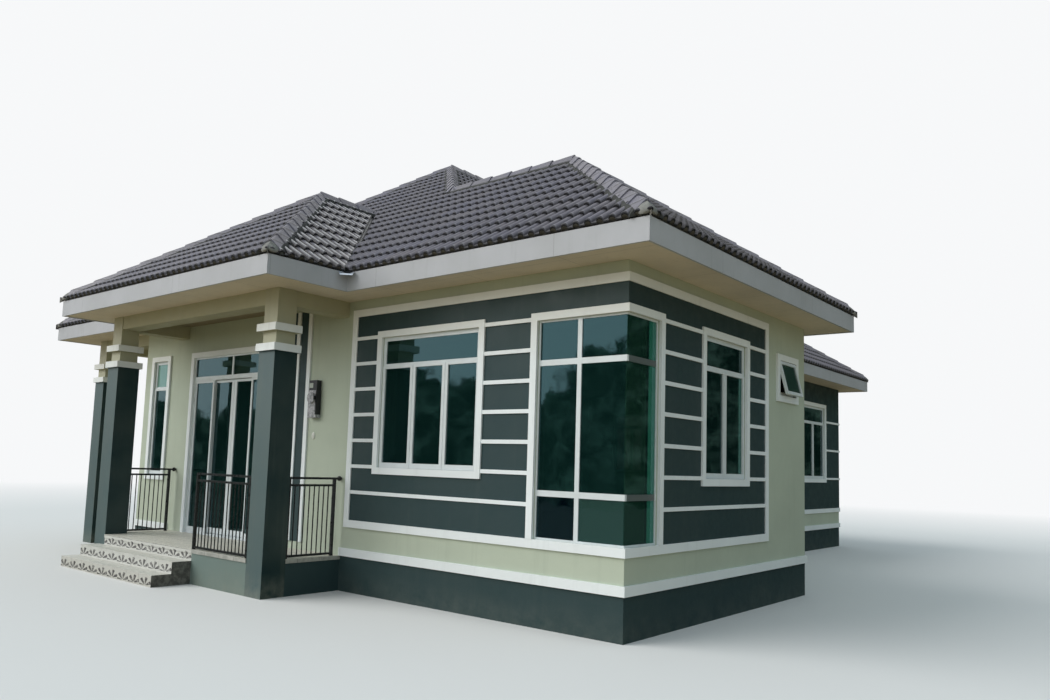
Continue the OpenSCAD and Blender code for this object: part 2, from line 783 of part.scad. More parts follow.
module right_sliding_leaf() color(white_col) placed() sliding_leaf(slide_right_x, right_stiles);

module left_leaf_glass() color(glass_col) placed() sliding_glass(slide_left_x, left_stiles);

module right_leaf_glass() color(glass_col) placed() sliding_glass(slide_right_x, right_stiles);

// Porch, steps and columns

step_x1 = porch_x1 - steps_inset;
step_x0 = step_x1 - steps_len;

// The base carries a slab with a small nosing, and the columns run down through both
module porch_floor() color(dark_col) placed() difference() {
    union() {
        box([porch_x0, porch_y, 0], [porch_x1, 0, floor_z]);
        box([porch_x0 - nosing, porch_y - nosing, floor_z - tile_t], [porch_x1 + nosing, 0, floor_z]);
    }
    for (x = [porch_x0 - 2 * nosing, porch_x1 - col_w])
        box([x, porch_y - 2 * nosing, -1], [x + col_w + 2 * nosing, porch_y + col_w, floor_z + 1]);
}

module lower_step() color(stone_col) placed()
    box([step_x0, porch_y - 2 * tread, 0], [step_x1, porch_y, riser]);

module upper_step() color(stone_col) placed()
    box([step_x0, porch_y - tread, riser], [step_x1, porch_y, 2 * riser]);

ring_top = head_z + surround_w;
ring_low = ring_top - 2 * ring_h - ring_gap;

// A square column: dark shaft, two projecting rings and a slimmer neck up to the ceiling
module column(x, y, z0) translate([x + col_w / 2, y + col_w / 2, 0]) {
    neck = col_w - col_neck;
    color(dark_col) prism(col_w, z0, ring_low);
    color(white_col) prism(col_w + 2 * ring_out, ring_low, ring_low + ring_h);
    color(wall_col) prism(neck, ring_low + ring_h, ring_top - ring_h);
    color(white_col) prism(col_w + 2 * ring_out, ring_top - ring_h, ring_top);
    color(wall_col) prism(neck, ring_top, ceil_z);
}

// An upright square bar about the centre line
module prism(w, z0, z1) translate([-w / 2, -w / 2, z0]) cube([w, w, z1 - z0]);

module right_column() placed() column(porch_x1 - col_w, porch_y, 0);

module left_column() placed() column(porch_x0, porch_y, 0);

verandah_ys = [0, (main_depth - col_w) / 2, main_depth - col_w];

module verandah_columns() placed() for (y = verandah_ys) column(col_left_x, y, 0);

// Beams lie between the columns' necks and the walls, under the ceiling boards
module porch_beams() color(wall_col) placed() {
    neck = col_neck / 2;
    y0 = porch_y + (col_w - beam_w) / 2;
    x0 = porch_x0 + (col_w - beam_w) / 2;
    x1 = porch_x1 - (col_w + beam_w) / 2;
    z0 = ceil_z - beam_h;
    box([porch_x0 + col_w - neck, y0, z0], [porch_x1 - col_w + neck, y0 + beam_w, ceil_z]);
    for (x = [x0, x1]) box([x, porch_y + col_w - neck, z0], [x + beam_w, 0, ceil_z]);
}

module verandah_beams() color(wall_col) placed() {
    neck = col_neck / 2;
    x0 = col_left_x + (col_w - beam_w) / 2;
    z0 = ceil_z - beam_h;
    for (k = [0, 1]) box(
        [x0, verandah_ys[k] + col_w - neck, z0],
        [x0 + beam_w, verandah_ys[k + 1] + neck, ceil_z]
    );
    for (y = verandah_ys) box(
        [col_left_x + col_w - neck, y + (col_w - beam_w) / 2, z0],
        [left_x, y + (col_w + beam_w) / 2, ceil_z]
    );
}

// Railings

// Height of the underside of the top rail above the floor
rail_under = rail_h - rail_t;

// Bars and rails along X, about the line y = 0
// The posts stand on the porch's floor, and the top rail runs on to len
module railing(len, posts) {
    translate([0, -rail_t / 2, rail_under]) cube([len, rail_t, rail_t]);
    for (z = [rail_foot, rail_under - rail_gap])
        translate([0, -rail_t / 2, z]) cube([posts[1] + rail_post, rail_t, rail_t]);
    for (x = posts) translate([x, -rail_post / 2, 0]) cube([rail_post, rail_post, rail_under]);
    first = posts[0] + rail_post;
    bays = ceil((posts[1] - first) / bar_pitch);
    step = (posts[1] - first) / bays;
    for (k = [1:bays - 1]) translate([first + step * k, 0, rail_foot + rail_t - 1])
        cylinder(d = rail_bar, h = rail_under - rail_gap - rail_foot - rail_t + 2, $fn = 8);
}

front_rail_len = steps_inset - col_w;
side_rail_len = porch_depth - col_w;

module front_railing() color(steel_col) placed() translate([step_x1, porch_y + rail_in_front, floor_z])
    railing(front_rail_len, [0, front_rail_len - rail_post]);

// A side railing runs back to the wall, where balls hold its top rail
module side_rail(x) translate([x, porch_y + col_w, floor_z]) rotate([0, 0, 90]) {
    railing(side_rail_len, [0, side_rail_len - post_gap - rail_post]);
    translate([side_rail_len - rail_ball / 2, 0, rail_under + rail_t / 2]) sphere(d = rail_ball, $fn = 12);
}

module right_railing() color(steel_col) placed() side_rail(porch_x1 - rail_in_right);

module left_railing() color(steel_col) placed() side_rail(porch_x0 + rail_in_left);

// Ceiling, fascia and roof

// The roofs' plan, drawn in by d all round
module plan2(d) {
    for (p = [main_plan, wing_plan]) rect(p[0] + [d, d], p[1] - [d, d]);
    rect(porch_plan[0] + [d, d], porch_plan[1] + [-d, 0]);
}

module ceiling() color(board_col) placed() translate([0, 0, ceil_z])
    linear_extrude(height = board_t) plan2(fascia_t);

module fascia() color(white_col) placed() translate([0, 0, fascia_z])
    linear_extrude(height = fascia_h) difference() {
        plan2(0);
        plan2(fascia_t);
    }

// Height of the tile tops at a distance d inside the fascia's outer face
function top_z(d) = eave_z + tile_rise + rise * d;

// A gable-shaped prism along Y or X over a plan, lowered by drop, drawn in by inset
module gable_y(p, drop, y0, y1) {
    half = (p[1][0] - p[0][0]) / 2 + tile_out;
    mid = (p[0][0] + p[1][0]) / 2;
    translate([mid, y1, 0]) rotate([90, 0, 0]) linear_extrude(height = y1 - y0) roof2(half, drop);
}

module gable_x(p, drop, x0, x1) {
    half = (p[1][1] - p[0][1]) / 2 + tile_out;
    mid = (p[0][1] + p[1][1]) / 2;
    translate([x0, mid, 0]) rotate([90, 0, 90]) linear_extrude(height = x1 - x0) roof2(half, drop);
}

// Section of a gable over its foot, which stays at the eaves' level: a cavity's foot is cut through
module roof2(half, drop) {
    z1 = top_z(-tile_out) - drop;
    foot = eave_z - (drop > 0 ? 1 : 0);
    cut = max(0, (foot - z1) / rise);
    low = max(z1, foot);
    polygon([
        [-half + cut, foot], [half - cut, foot],
        [half - cut, low], [0, z1 + rise * half], [-half + cut, low]
    ]);
}

// A hipped roof volume: where two crossing gables overlap
module hip(p, drop) intersection() {
    gable_y(p, drop, p[0][1] - tile_out, p[1][1] + tile_out);
    gable_x(p, drop, p[0][0] - tile_out, p[1][0] + tile_out);
}

// Half the spans of the three roofs, over their tiles
main_half = (main_plan[1][0] - main_plan[0][0]) / 2 + tile_out;
wing_half = (wing_plan[1][1] - wing_plan[0][1]) / 2 + tile_out;
porch_half = (porch_plan[1][0] - porch_plan[0][0]) / 2 + tile_out;

// Wing and porch roofs run back as hips that end inside the main roof
wing_reach = [[main_plan[1][0] - 2 * wing_half, wing_plan[0][1]], wing_plan[1]];
porch_reach = [porch_plan[0], [porch_plan[1][0], main_plan[0][1] + 2 * porch_half]];

// Plan corners of the roofs over their tiles, and the plan points where ridges and hips meet
main_lo = main_plan[0] - [tile_out, tile_out];
main_hi = main_plan[1] + [tile_out, tile_out];
wing_hi = wing_plan[1] + [tile_out, tile_out];
porch_lo = porch_plan[0] - [tile_out, tile_out];
porch_hi_x = porch_plan[1][0] + tile_out;
main_apex = main_lo + [main_half, main_half];
main_back = main_hi - [main_half, main_half];
wing_apex = wing_hi - [wing_half, wing_half];
wing_meet = [main_hi[0] - wing_half, wing_apex[1]];
porch_apex = porch_lo + [porch_half, porch_half];
porch_meet = [porch_apex[0], main_lo[1] + porch_half];

// Every line that a cap follows, in plan
cap_lines = [
    [main_lo, main_apex], [[main_lo[0], main_hi[1]], main_back], [main_hi, main_back], [main_apex, main_back],
    [wing_meet, main_apex], [wing_meet, wing_apex], [wing_hi, wing_apex],
    [[wing_hi[0], main_lo[1]], wing_apex], [porch_lo, porch_apex],
    [[porch_hi_x, porch_lo[1]], porch_apex], [porch_apex, porch_meet]
];

// Valleys, from the eaves up
valley_lines = [
    [[porch_lo[0], main_lo[1]], porch_meet], [[porch_hi_x, main_lo[1]], porch_meet],
    [[main_hi[0], wing_hi[1]], wing_meet]
];

// Where the wing's front slope runs on from the main one
front_seam = [[main_hi[0], main_lo[1]], wing_meet];

// A strip of width w in plan along one line, which it passes at both ends
module strip2(l, w, past) translate(l[0]) rotate(atan2(l[1][1] - l[0][1], l[1][0] - l[0][0]))
    translate([-past, -w / 2]) square([norm(l[1] - l[0]) + 2 * past, w]);

// Every slope's outline in plan, with 0 where its eave runs along X and 1 where it runs along Y
main_slopes = [
    [[
        main_lo, valley_lines[0][0], porch_meet, valley_lines[1][0], front_seam[0], wing_meet, main_apex
    ], 0],
    [[main_lo, main_apex, main_back, [main_lo[0], main_hi[1]]], 1],
    [[[main_lo[0], main_hi[1]], main_back, main_hi], 0],
    [[valley_lines[2][0], main_hi, main_back, main_apex, wing_meet], 1]
];
wing_slopes = [
    [[front_seam[0], [wing_hi[0], main_lo[1]], wing_apex, wing_meet], 0],
    [[[wing_hi[0], main_lo[1]], wing_hi, wing_apex], 1],
    [[wing_hi, valley_lines[2][0], wing_meet, wing_apex], 0]
];
porch_slopes = [
    [[porch_lo, [porch_hi_x, porch_lo[1]], porch_apex], 0],
    [[[porch_hi_x, porch_lo[1]], valley_lines[1][0], porch_meet, porch_apex], 1],
    [[porch_lo, valley_lines[0][0], porch_meet, porch_apex], 1]
];

// Tile rolls of one slope in plan: they run up from its eave
module rolls2(outline, turn) {
    lo = [for (i = [0, 1]) min([for (q = outline) q[i]])];
    hi = [for (i = [0, 1]) max([for (q = outline) q[i]])];
    intersection() {
        polygon(outline);
        for (k = [ceil(lo[turn] / roll_pitch):floor(hi[turn] / roll_pitch)]) {
            at = roll_pitch * k - roll_w / 2;
            if (turn == 0) translate([at, lo[1]]) square([roll_w, hi[1] - lo[1]]);
            else translate([lo[0], at]) square([hi[0] - lo[0], roll_w]);
        }
    }
}

// Rolls of one roof: what it gains when it is raised, clear of the caps, the valleys and the seam
module rolls(plan, slopes) intersection() {
    hip(plan, -roll_h);
    linear_extrude(height = top_z(main_half)) difference() {
        for (s = slopes) rolls2(s[0], s[1]);
        for (l = concat(cap_lines, valley_lines)) strip2(l, cap_w + 2 * joint_gap, cap_w / 2);
        strip2(front_seam, 2 * joint_gap, cap_w / 2);
    }
}

// A roof's shell with its rolls
module shell(plan, slopes) difference() {
    union() {
        hip(plan, 0);
        rolls(plan, slopes);
    }
    hip(plan, roof_t);
}

// The wing and porch roofs stop at the main roof's slopes
module main_roof() color(roof_col) placed() shell(main_plan, main_slopes);

module wing_roof() color(roof_col) placed() difference() {
    shell(wing_reach, wing_slopes);
    gable_y(main_plan, 0, main_plan[0][1] - 2 * tile_out, main_plan[1][1]);
}

module porch_roof() color(roof_col) placed() difference() {
    shell(porch_reach, porch_slopes);
    gable_x(main_plan, 0, main_plan[0][0], main_plan[1][0]);
}

module roofs(drop) {
    hip(main_plan, drop);
    hip(wing_reach, drop);
    hip(porch_reach, drop);
}

// Caps: what the roofs gain when they are raised, along the ridges and hips
module ridge_caps() color(roof_col) placed() intersection() {
    difference() {
        roofs(-cap_rise);
        roofs(0);
    }
    linear_extrude(height = top_z(main_half) + 2 * cap_rise) for (l = cap_lines) strip2(l, cap_w, 0);
}

// The meter with its dial, under the fuse box that feeds it
module meter_box() color(stone_col) placed() {
    meter_z0 = floor_z + meter_z;
    meter_z1 = meter_z0 + meter_h;
    meter_mid = -meter_x - meter_w / 2;
    box([meter_mid - meter_w / 2, -meter_d, meter_z0], [meter_mid + meter_w / 2, 0, meter_z1]);
    translate([meter_mid, -meter_d, meter_z1 - dial_d / 2 - dial_out]) rotate([90, 0, 0])
        cylinder(d = dial_d, h = dial_out);
    box([meter_mid - fuse_w / 2, -fuse_d, meter_z1], [meter_mid + fuse_w / 2, 0, meter_z1 + fuse_h]);
}

base_slab();
plinth_band();
front_wall_left();
front_wall_over_door();
front_wall_right();
right_wall();
wing_rear_wall();
main_side_wall();
rear_wall();
left_wall();
dark_render();
facade_strips();
upright_stripes();
window_surrounds();
window_frames();
corner_window_frame();
window_glass();
bathroom_sash();
door_surround();
door_frame();
left_fixed_leaf();
right_fixed_leaf();
door_glass();
left_sliding_leaf();
left_leaf_glass();
right_sliding_leaf();
right_leaf_glass();
porch_floor();
lower_step();
upper_step();
right_column();
left_column();
verandah_columns();
porch_beams();
verandah_beams();
front_railing();
right_railing();
left_railing();
ceiling();
fascia();
main_roof();
wing_roof();
porch_roof();
ridge_caps();
meter_box();
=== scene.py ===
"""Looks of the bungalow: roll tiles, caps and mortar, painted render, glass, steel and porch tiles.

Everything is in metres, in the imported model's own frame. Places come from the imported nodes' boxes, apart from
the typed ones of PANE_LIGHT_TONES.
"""

import random
from math import cos, floor, hypot, pi, radians, sin, sqrt

import bmesh
import bpy
from mathutils import Matrix, Vector, noise


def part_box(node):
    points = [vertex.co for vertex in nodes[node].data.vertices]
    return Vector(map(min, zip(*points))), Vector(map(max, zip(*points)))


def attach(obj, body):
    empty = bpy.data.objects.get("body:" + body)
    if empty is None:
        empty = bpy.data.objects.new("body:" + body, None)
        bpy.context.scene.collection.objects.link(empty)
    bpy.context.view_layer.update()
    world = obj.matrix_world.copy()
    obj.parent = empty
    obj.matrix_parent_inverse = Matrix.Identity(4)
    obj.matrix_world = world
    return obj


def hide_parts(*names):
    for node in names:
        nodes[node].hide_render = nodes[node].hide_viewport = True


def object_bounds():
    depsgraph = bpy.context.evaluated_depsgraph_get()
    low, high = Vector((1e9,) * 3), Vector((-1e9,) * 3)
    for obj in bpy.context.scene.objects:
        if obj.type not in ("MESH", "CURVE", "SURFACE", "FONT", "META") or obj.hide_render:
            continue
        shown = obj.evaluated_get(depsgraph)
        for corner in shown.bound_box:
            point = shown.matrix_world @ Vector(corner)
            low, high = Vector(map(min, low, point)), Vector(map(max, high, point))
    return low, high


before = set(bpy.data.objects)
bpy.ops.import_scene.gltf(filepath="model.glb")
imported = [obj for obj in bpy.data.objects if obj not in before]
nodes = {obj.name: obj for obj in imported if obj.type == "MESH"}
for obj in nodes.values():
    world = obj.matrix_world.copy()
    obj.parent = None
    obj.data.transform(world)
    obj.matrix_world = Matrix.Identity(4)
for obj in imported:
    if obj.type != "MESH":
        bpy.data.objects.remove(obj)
cad_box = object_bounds()
scene = bpy.context.scene
scene.view_settings.view_transform = "Standard"


def new_object(name, data, *materials):
    """A new object in the scene, with its materials in the order of their marks."""
    thing = bpy.data.objects.new(name, data)
    scene.collection.objects.link(thing)
    for material in materials:
        data.materials.append(material)
    return thing


# Camera

HOUSE_CORNER = Vector((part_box("front_wall_right")[1].x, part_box("front_wall_right")[0].y, 0))
CAMERA_FROM_CORNER = Vector((3.870, -6.342, 1.520))
CAMERA_HEADING = 40.119
CAMERA_UP = 5.679
CAMERA_ROLL = 1.873
FOCAL_PIXELS = 825.7
CENTRE_PIXEL = (501.1, 382.7)
IMAGE = (1050, 700)
SENSOR = 36.0


def make_camera():
    """The photograph's own camera: 28 mm wide, at eye height, turned to the left."""
    data = bpy.data.cameras.new("camera")
    data.sensor_width = SENSOR
    data.lens = FOCAL_PIXELS / IMAGE[0] * SENSOR
    data.shift_x = (IMAGE[0] / 2 - CENTRE_PIXEL[0]) / IMAGE[0]
    data.shift_y = (CENTRE_PIXEL[1] - IMAGE[1] / 2) / IMAGE[0]
    data.clip_end = 400
    a, b, c = (radians(v) for v in (CAMERA_HEADING, CAMERA_UP, CAMERA_ROLL))
    ahead = Vector((-sin(a) * cos(b), cos(a) * cos(b), sin(b)))
    level = Vector((cos(a), sin(a), 0))
    above = level.cross(ahead)
    right = cos(c) * level + sin(c) * above
    up = -sin(c) * level + cos(c) * above
    turn = Matrix((right, up, -ahead)).transposed().to_4x4()
    scene.camera = new_object("camera", data)
    scene.camera.matrix_world = Matrix.Translation(HOUSE_CORNER + CAMERA_FROM_CORNER) @ turn


make_camera()

# Material helpers


class Nodes:
    """A node tree, with short calls to add nodes and wire them."""

    def __init__(self, tree):
        self.tree = tree

    def add(self, kind, **settings):
        node = self.tree.nodes.new(kind)
        for key, value in settings.items():
            setattr(node, key, value)
        return node

    def wire(self, source, target):
        """Links a socket, or sets a value."""
        if isinstance(source, bpy.types.NodeSocket):
            self.tree.links.new(source, target)
        else:
            target.default_value = source

    def paint(self, colour, target):
        """Links a socket, or sets a colour of three numbers."""
        self.wire(colour if isinstance(colour, bpy.types.NodeSocket) else (*colour[:3], 1.0), target)

    def maths(self, operation, a, b=0.5):
        node = self.add("ShaderNodeMath", operation=operation)
        self.wire(a, node.inputs[0])
        self.wire(b, node.inputs[1])
        return node.outputs[0]

    def times(self, a, b):
        return self.maths("MULTIPLY", a, b)

    def over(self, value, level):
        """1 where a value is over a level."""
        return self.maths("GREATER_THAN", value, level)

    def cell(self, value, pitch):
        """Place between 0 and 1 inside cells of one pitch."""
        return self.maths("FRACT", self.maths("DIVIDE", value, pitch), 0)

    def away(self, value, level):
        """How far a value is from a level."""
        return self.maths("ABSOLUTE", self.maths("SUBTRACT", value, level), 0)

    def within(self, *spans):
        """1 where every value is inside its span: a value, its least and its greatest."""
        inside = None
        for value, low, high in spans:
            for test in (self.over(value, low), self.maths("LESS_THAN", value, high)):
                inside = test if inside is None else self.times(inside, test)
        return inside

    def remap(self, value, low, high, to_low=0.0, to_high=1.0):
        node = self.add("ShaderNodeMapRange")
        self.wire(value, node.inputs["Value"])
        for key, number in zip(("From Min", "From Max", "To Min", "To Max"), (low, high, to_low, to_high)):
            node.inputs[key].default_value = number
        return node.outputs["Result"]

    def mix(self, fac, a, b, blend="MIX"):
        node = self.add("ShaderNodeMix", data_type="RGBA", blend_type=blend)
        self.wire(fac, node.inputs["Factor"])
        self.paint(a, node.inputs[6])
        self.paint(b, node.inputs[7])
        return node.outputs[2]

    def tint(self, where, amount, colour, other):
        """Moves a colour towards another one by an amount, where the mask is 1."""
        return self.mix(self.times(where, amount), colour, other)

    def blend(self, fac, first, second):
        """Mixes two shaders."""
        node = self.add("ShaderNodeMixShader")
        for source, target in zip((fac, first, second), node.inputs):
            self.wire(source, target)
        return node.outputs[0]


class Material(Nodes):
    """A material and its nodes."""

    def __init__(self, name):
        self.data = bpy.data.materials.new(name)
        self.data.use_nodes = True
        super().__init__(self.data.node_tree)
        self.bsdf = self.tree.nodes["Principled BSDF"]
        self.place = self.add("ShaderNodeTexCoord").outputs["Object"]

    def split(self, vector=None):
        node = self.add("ShaderNodeSeparateXYZ")
        self.wire(vector or self.place, node.inputs[0])
        return node.outputs

    def normal(self):
        """The way a face looks, as x, y and z."""
        return self.split(self.add("ShaderNodeNewGeometry").outputs["Normal"])

    def noise(self, scale, detail, rough=0.55, stretch=None):
        """Noise between 0 and 1: scale is in waves per metre, stretch scales the axes first."""
        place = self.place
        if stretch:
            mapping = self.add("ShaderNodeMapping")
            mapping.inputs["Scale"].default_value = stretch
            self.wire(place, mapping.inputs["Vector"])
            place = mapping.outputs["Vector"]
        tex = self.add("ShaderNodeTexNoise")
        for value, key in ((place, "Vector"), (scale, "Scale"), (detail, "Detail"), (rough, "Roughness")):
            self.wire(value, tex.inputs[key])
        return tex.outputs["Fac"]

    def cloud(self, scale, detail, span=(0.3, 0.7), to=(0, 1), rough=0.55, stretch=None):
        """Noise whose values in a span are stretched to another span."""
        return self.remap(self.noise(scale, detail, rough, stretch), *span, *to)

    def bump(self, scale, detail, depth, before=None, rough=0.55):
        """A bump of noise, with a real depth in metres, over the one before it."""
        node = self.add("ShaderNodeBump")
        node.inputs["Distance"].default_value = depth
        self.wire(self.noise(scale, detail, rough), node.inputs["Height"])
        if before:
            self.wire(before, node.inputs["Normal"])
        return node.outputs["Normal"]

    def glow(self, colour):
        node = self.add("ShaderNodeEmission")
        self.paint(colour, node.inputs["Color"])
        return node.outputs[0]

    def surface(self, shader):
        """Makes another shader than the Principled one the surface."""
        self.wire(shader, self.tree.nodes["Material Output"].inputs["Surface"])

    def finish(self, colour, rough, normal=None, specular=0.5, **fixed):
        """Wires the given sockets, and sets fixed values on the shader itself."""
        self.paint(colour, self.bsdf.inputs["Base Color"])
        self.wire(rough, self.bsdf.inputs["Roughness"])
        if normal:
            self.wire(normal, self.bsdf.inputs["Normal"])
        for key, value in {"Specular IOR Level": specular, **fixed}.items():
            self.bsdf.inputs[key.replace("_", " ")].default_value = value
        return self.data


# Colours, as linear numbers, and the heights of stains and of painted shade in metres

WALL = (0.47, 0.53, 0.43)
DARK = (0.027, 0.055, 0.060)
# Copies of the dark paint for the columns' feet: painted light where they do not look right, painted shade where
# they do
LIT_COLUMN_DARK = (0.072, 0.118, 0.124)
SHADED_DARK = (0.002, 0.026, 0.030)
WHITE = (0.80, 0.85, 0.87)
# White paint on the fascia and its strip, painted darker than the trims as shade
SHADED_WHITE_BOARD = (0.435, 0.445, 0.475)
ALUMINIUM = (0.66, 0.71, 0.73)
DUSTY_WHITE = (0.40, 0.42, 0.40)
DUST = (0.30, 0.31, 0.26)
GRIME = (0.16, 0.17, 0.14)
CREAM = (0.70, 0.61, 0.48)
# Painted shade on the ceiling boards over the porch
PORCH_CEILING_SHADE = (0.24, 0.19, 0.11)
BEAM = (0.43, 0.43, 0.31)
TILE = (0.122, 0.120, 0.160)
# Painted shade in the tiles' pans and under their noses
PAN_SHADE = (0.015, 0.015, 0.019)
# Painted shade under the eaves: the warm tint that the walls take near their tops
EAVES_SHADE_TINT = (0.78, 0.68, 0.52)
# Painted shade inside the rooms
ROOM_SHADE = (0.006, 0.010, 0.010)
GROUND_SPLASH = 0.28
# Where the painted shade under the eaves starts, and over how much height it grows
EAVES_SHADE_FROM = 2.55
EAVES_SHADE_FADE = 0.7

# The rooms' plans, inside the outer faces of their walls

ROOM_IN = 0.145
room_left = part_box("left_wall")[0].x + ROOM_IN
room_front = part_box("front_wall_left")[0].y + ROOM_IN
ROOMS = [
    ((room_left, room_front), (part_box(side)[1].x - ROOM_IN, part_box(back)[1].y - ROOM_IN))
    for side, back in (("main_side_wall", "rear_wall"), ("right_wall", "wing_rear_wall"))
]


def stains_and_eaves_shade(mat, colour, amount):
    """Clouds, streaks, splashes near the ground and painted shade under the eaves, over a plain colour."""
    z = mat.split()[2]
    # Painted shade: walls grow warmer and darker towards the eaves
    eaves = mat.remap(z, EAVES_SHADE_FROM, EAVES_SHADE_FROM + EAVES_SHADE_FADE, 0, 0.55)
    colour = mat.mix(eaves, colour, EAVES_SHADE_TINT, "MULTIPLY")
    colour = mat.tint(mat.cloud(0.9, 4, (0.35, 0.7)), 0.30 * amount, colour, GRIME)
    streaks = mat.cloud(1.0, 4, (0.56, 0.82), rough=0.6, stretch=(9, 9, 0.45))
    colour = mat.tint(streaks, 0.28 * amount, colour, GRIME)
    low = mat.remap(z, GROUND_SPLASH, 0.0)
    ragged = mat.times(low, mat.cloud(6, 5, rough=0.7))
    return mat.tint(ragged, 0.6 * amount, colour, DUST)


def render_coat(mat):
    """Bump of trowelled and rolled paint on render."""
    return mat.bump(260, 3, 0.0007, mat.bump(14, 5, 0.0018, rough=0.6), 0.6)


def paint_room_shade(mat, colour):
    """Painted shade: faces inside the rooms, seen through the panes, are nearly black."""
    x, y, _ = mat.split()
    for lo, hi in ROOMS:
        colour = mat.mix(mat.within((x, lo[0], hi[0]), (y, lo[1], hi[1])), colour, ROOM_SHADE)
    return colour


def painted(name, colour, rough, amount):
    """Painted render, a little glossier here and duller there."""
    mat = Material(name)
    tinted = paint_room_shade(mat, stains_and_eaves_shade(mat, colour, amount))
    gloss = mat.cloud(5, 4, to=(rough - 0.12, rough + 0.12))
    return mat.finish(tinted, gloss, render_coat(mat), specular=0.25)


def banded(name, levels, colours, rough):
    """Painted render whose colour changes at the given heights. Its foot is darker on the side that looks to the
    right: painted shade.
    """
    mat = Material(name)
    z = mat.split()[2]
    colour = mat.mix(mat.over(mat.normal()[0], 0.5), colours[0], SHADED_DARK)
    for level, above in zip(levels, colours[1:]):
        colour = mat.mix(mat.over(z, level), colour, above)
    return mat.finish(stains_and_eaves_shade(mat, colour, 0.8), rough, render_coat(mat), specular=0.4)


def joint_lines(mat, axes, pitch, width):
    """1 on the joints of a square grid along the given axes."""
    lines = None
    for axis in axes:
        line = mat.maths("LESS_THAN", mat.cell(axis, pitch), width / pitch)
        lines = line if lines is None else mat.maths("MAXIMUM", lines, line)
    return lines


def board(name, colour, rough, board_size, porch=None):
    """Painted boards with fine joints both ways, and painted shade over the porch."""
    mat = Material(name)
    x, y, _ = mat.split()
    # Painted shade over the porch
    if porch:
        lo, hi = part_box("porch_beams")
        colour = mat.mix(mat.within((x, lo.x, hi.x), (y, lo.y, hi.y)), colour, porch)
    lines = joint_lines(mat, (x, y), board_size, 0.004)
    tinted = mat.tint(mat.cloud(1.6, 4, (0.3, 0.72)), 0.22, colour, GRIME)
    drips = mat.cloud(1.0, 4, (0.58, 0.8), rough=0.65, stretch=(14, 14, 0.8))
    tinted = mat.tint(drips, 0.20, tinted, GRIME)
    tinted = paint_room_shade(mat, mat.tint(lines, 0.6, tinted, (0.1, 0.1, 0.09)))
    return mat.finish(tinted, rough, mat.bump(120, 3, 0.0004), specular=0.3)


def powder_coat(mat):
    """White powder coat with faint dust."""
    return mat.tint(mat.cloud(7, 5, (0.4, 0.75)), 0.22, ALUMINIUM, DUSTY_WHITE)


def aluminium():
    """White powder coat. The glazed corner's transoms on its right side are darkened: painted shade."""
    mat = Material("white_aluminium")
    lo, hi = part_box("corner_window_frame")
    x, y, z = mat.split()
    side = mat.within((x, hi.x - 0.02, hi.x + 0.01), (y, lo.y + 0.03, hi.y - 0.03),
                         (z, lo.z + 0.05, hi.z - 0.05))
    colour = mat.mix(side, powder_coat(mat), (0.11, 0.13, 0.13))
    rough = mat.cloud(30, 3, to=(0.28, 0.42))
    return mat.finish(colour, rough, mat.bump(700, 2, 0.0002))


# Painted reflections on panes with a tone of their own, as places along x, y and z: the glazed corner's two
# lowest ones in front, the slim window's upper one and the glazed corner's side; and painted light of the reveal
# at the far edge of the wing window's pane
PANE_LIGHT_TONES = [
    (((4.28, 4.77), (-5.69, -5.66), (0.83, 1.25)), (0.0, 0.001, 0.004)),
    (((4.78, 5.271), (-5.69, -5.66), (0.83, 1.25)), (0.026, 0.062, 0.053)),
    (((-3.20, -2.85), (-5.69, -5.66), (2.53, 2.90)), (0.19, 0.34, 0.28)),
    (((5.2715, 5.279), (-5.68, -5.32), (0.83, 2.92)), (0.010, 0.040, 0.026)),
    (((5.2715, 5.279), (-3.30, -3.21), (1.50, 2.58)), (0.020, 0.120, 0.085)),
]
# Painted light: how much of the wall's lit reveal is painted on the glazed corner's side pane, along y and x
PAINTED_REVEAL_SPAN = 0.15
PAINTED_REVEAL_DEPTH = 0.06


def glass():
    """Dark green reflecting glass: it lets a little light through and mirrors the sky. Some panes carry painted
    reflections and painted light.
    """
    mat = Material("window_glass")
    colour = mat.mix(mat.noise(1.2, 2), (0.002, 0.011, 0.010), (0.005, 0.022, 0.019))
    _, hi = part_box("corner_window_frame")
    places = mat.split()
    # Painted light: the lit reveal behind the glazed corner's side pane
    reveal = mat.within((places[0], hi.x - PAINTED_REVEAL_DEPTH, hi.x), (places[1], hi.y - PAINTED_REVEAL_SPAN, hi.y))
    colour = mat.mix(reveal, colour, (0.030, 0.190, 0.130))
    # Painted reflections and painted light, pane by pane
    for box, tone in PANE_LIGHT_TONES:
        pane = mat.within(*((place, *span) for place, span in zip(places, box)))
        colour = mat.mix(pane, colour, tone)
    film = mat.cloud(3, 4, (0.35, 0.75), (0.015, 0.05))
    mat.finish(colour, film, mat.bump(1.4, 2, 0.004), Alpha=0.80, IOR=2.15,
                  Specular_Tint=(0.44, 0.88, 1.0, 1.0))
    mat.data.surface_render_method = "BLENDED"
    return mat.data


def steel():
    """Black paint on steel, with small rusty chips."""
    mat = Material("black_steel")
    chips = mat.cloud(60, 5, (0.68, 0.74), rough=0.7)
    colour = mat.tint(chips, 0.5, (0.012, 0.013, 0.014), (0.09, 0.05, 0.03))
    rough = mat.cloud(25, 3, to=(0.22, 0.42))
    return mat.finish(colour, rough, mat.bump(180, 3, 0.0005))


# Roof tiles: the attribute "on_slope" holds metres along the eaves, metres up the slope, and a slope's number

ROLL_PITCH = 0.125
TILE_WIDTH = 2 * ROLL_PITCH
GAUGE = 0.32
CAP_NUMBER = 20.0
# Painted shade on the slopes that look to the right, by number
SLOPE_SHADE = [(3.0, (0.80, 0.80, 0.80)), (5.0, (0.40, 0.40, 0.40))]
# The porch's right slope, with a painted highlight on its rolls' tops and painted shade in its pans
PORCH_RIGHT = 8.0
PORCH_GLINT = (0.50, 0.48, 0.48)


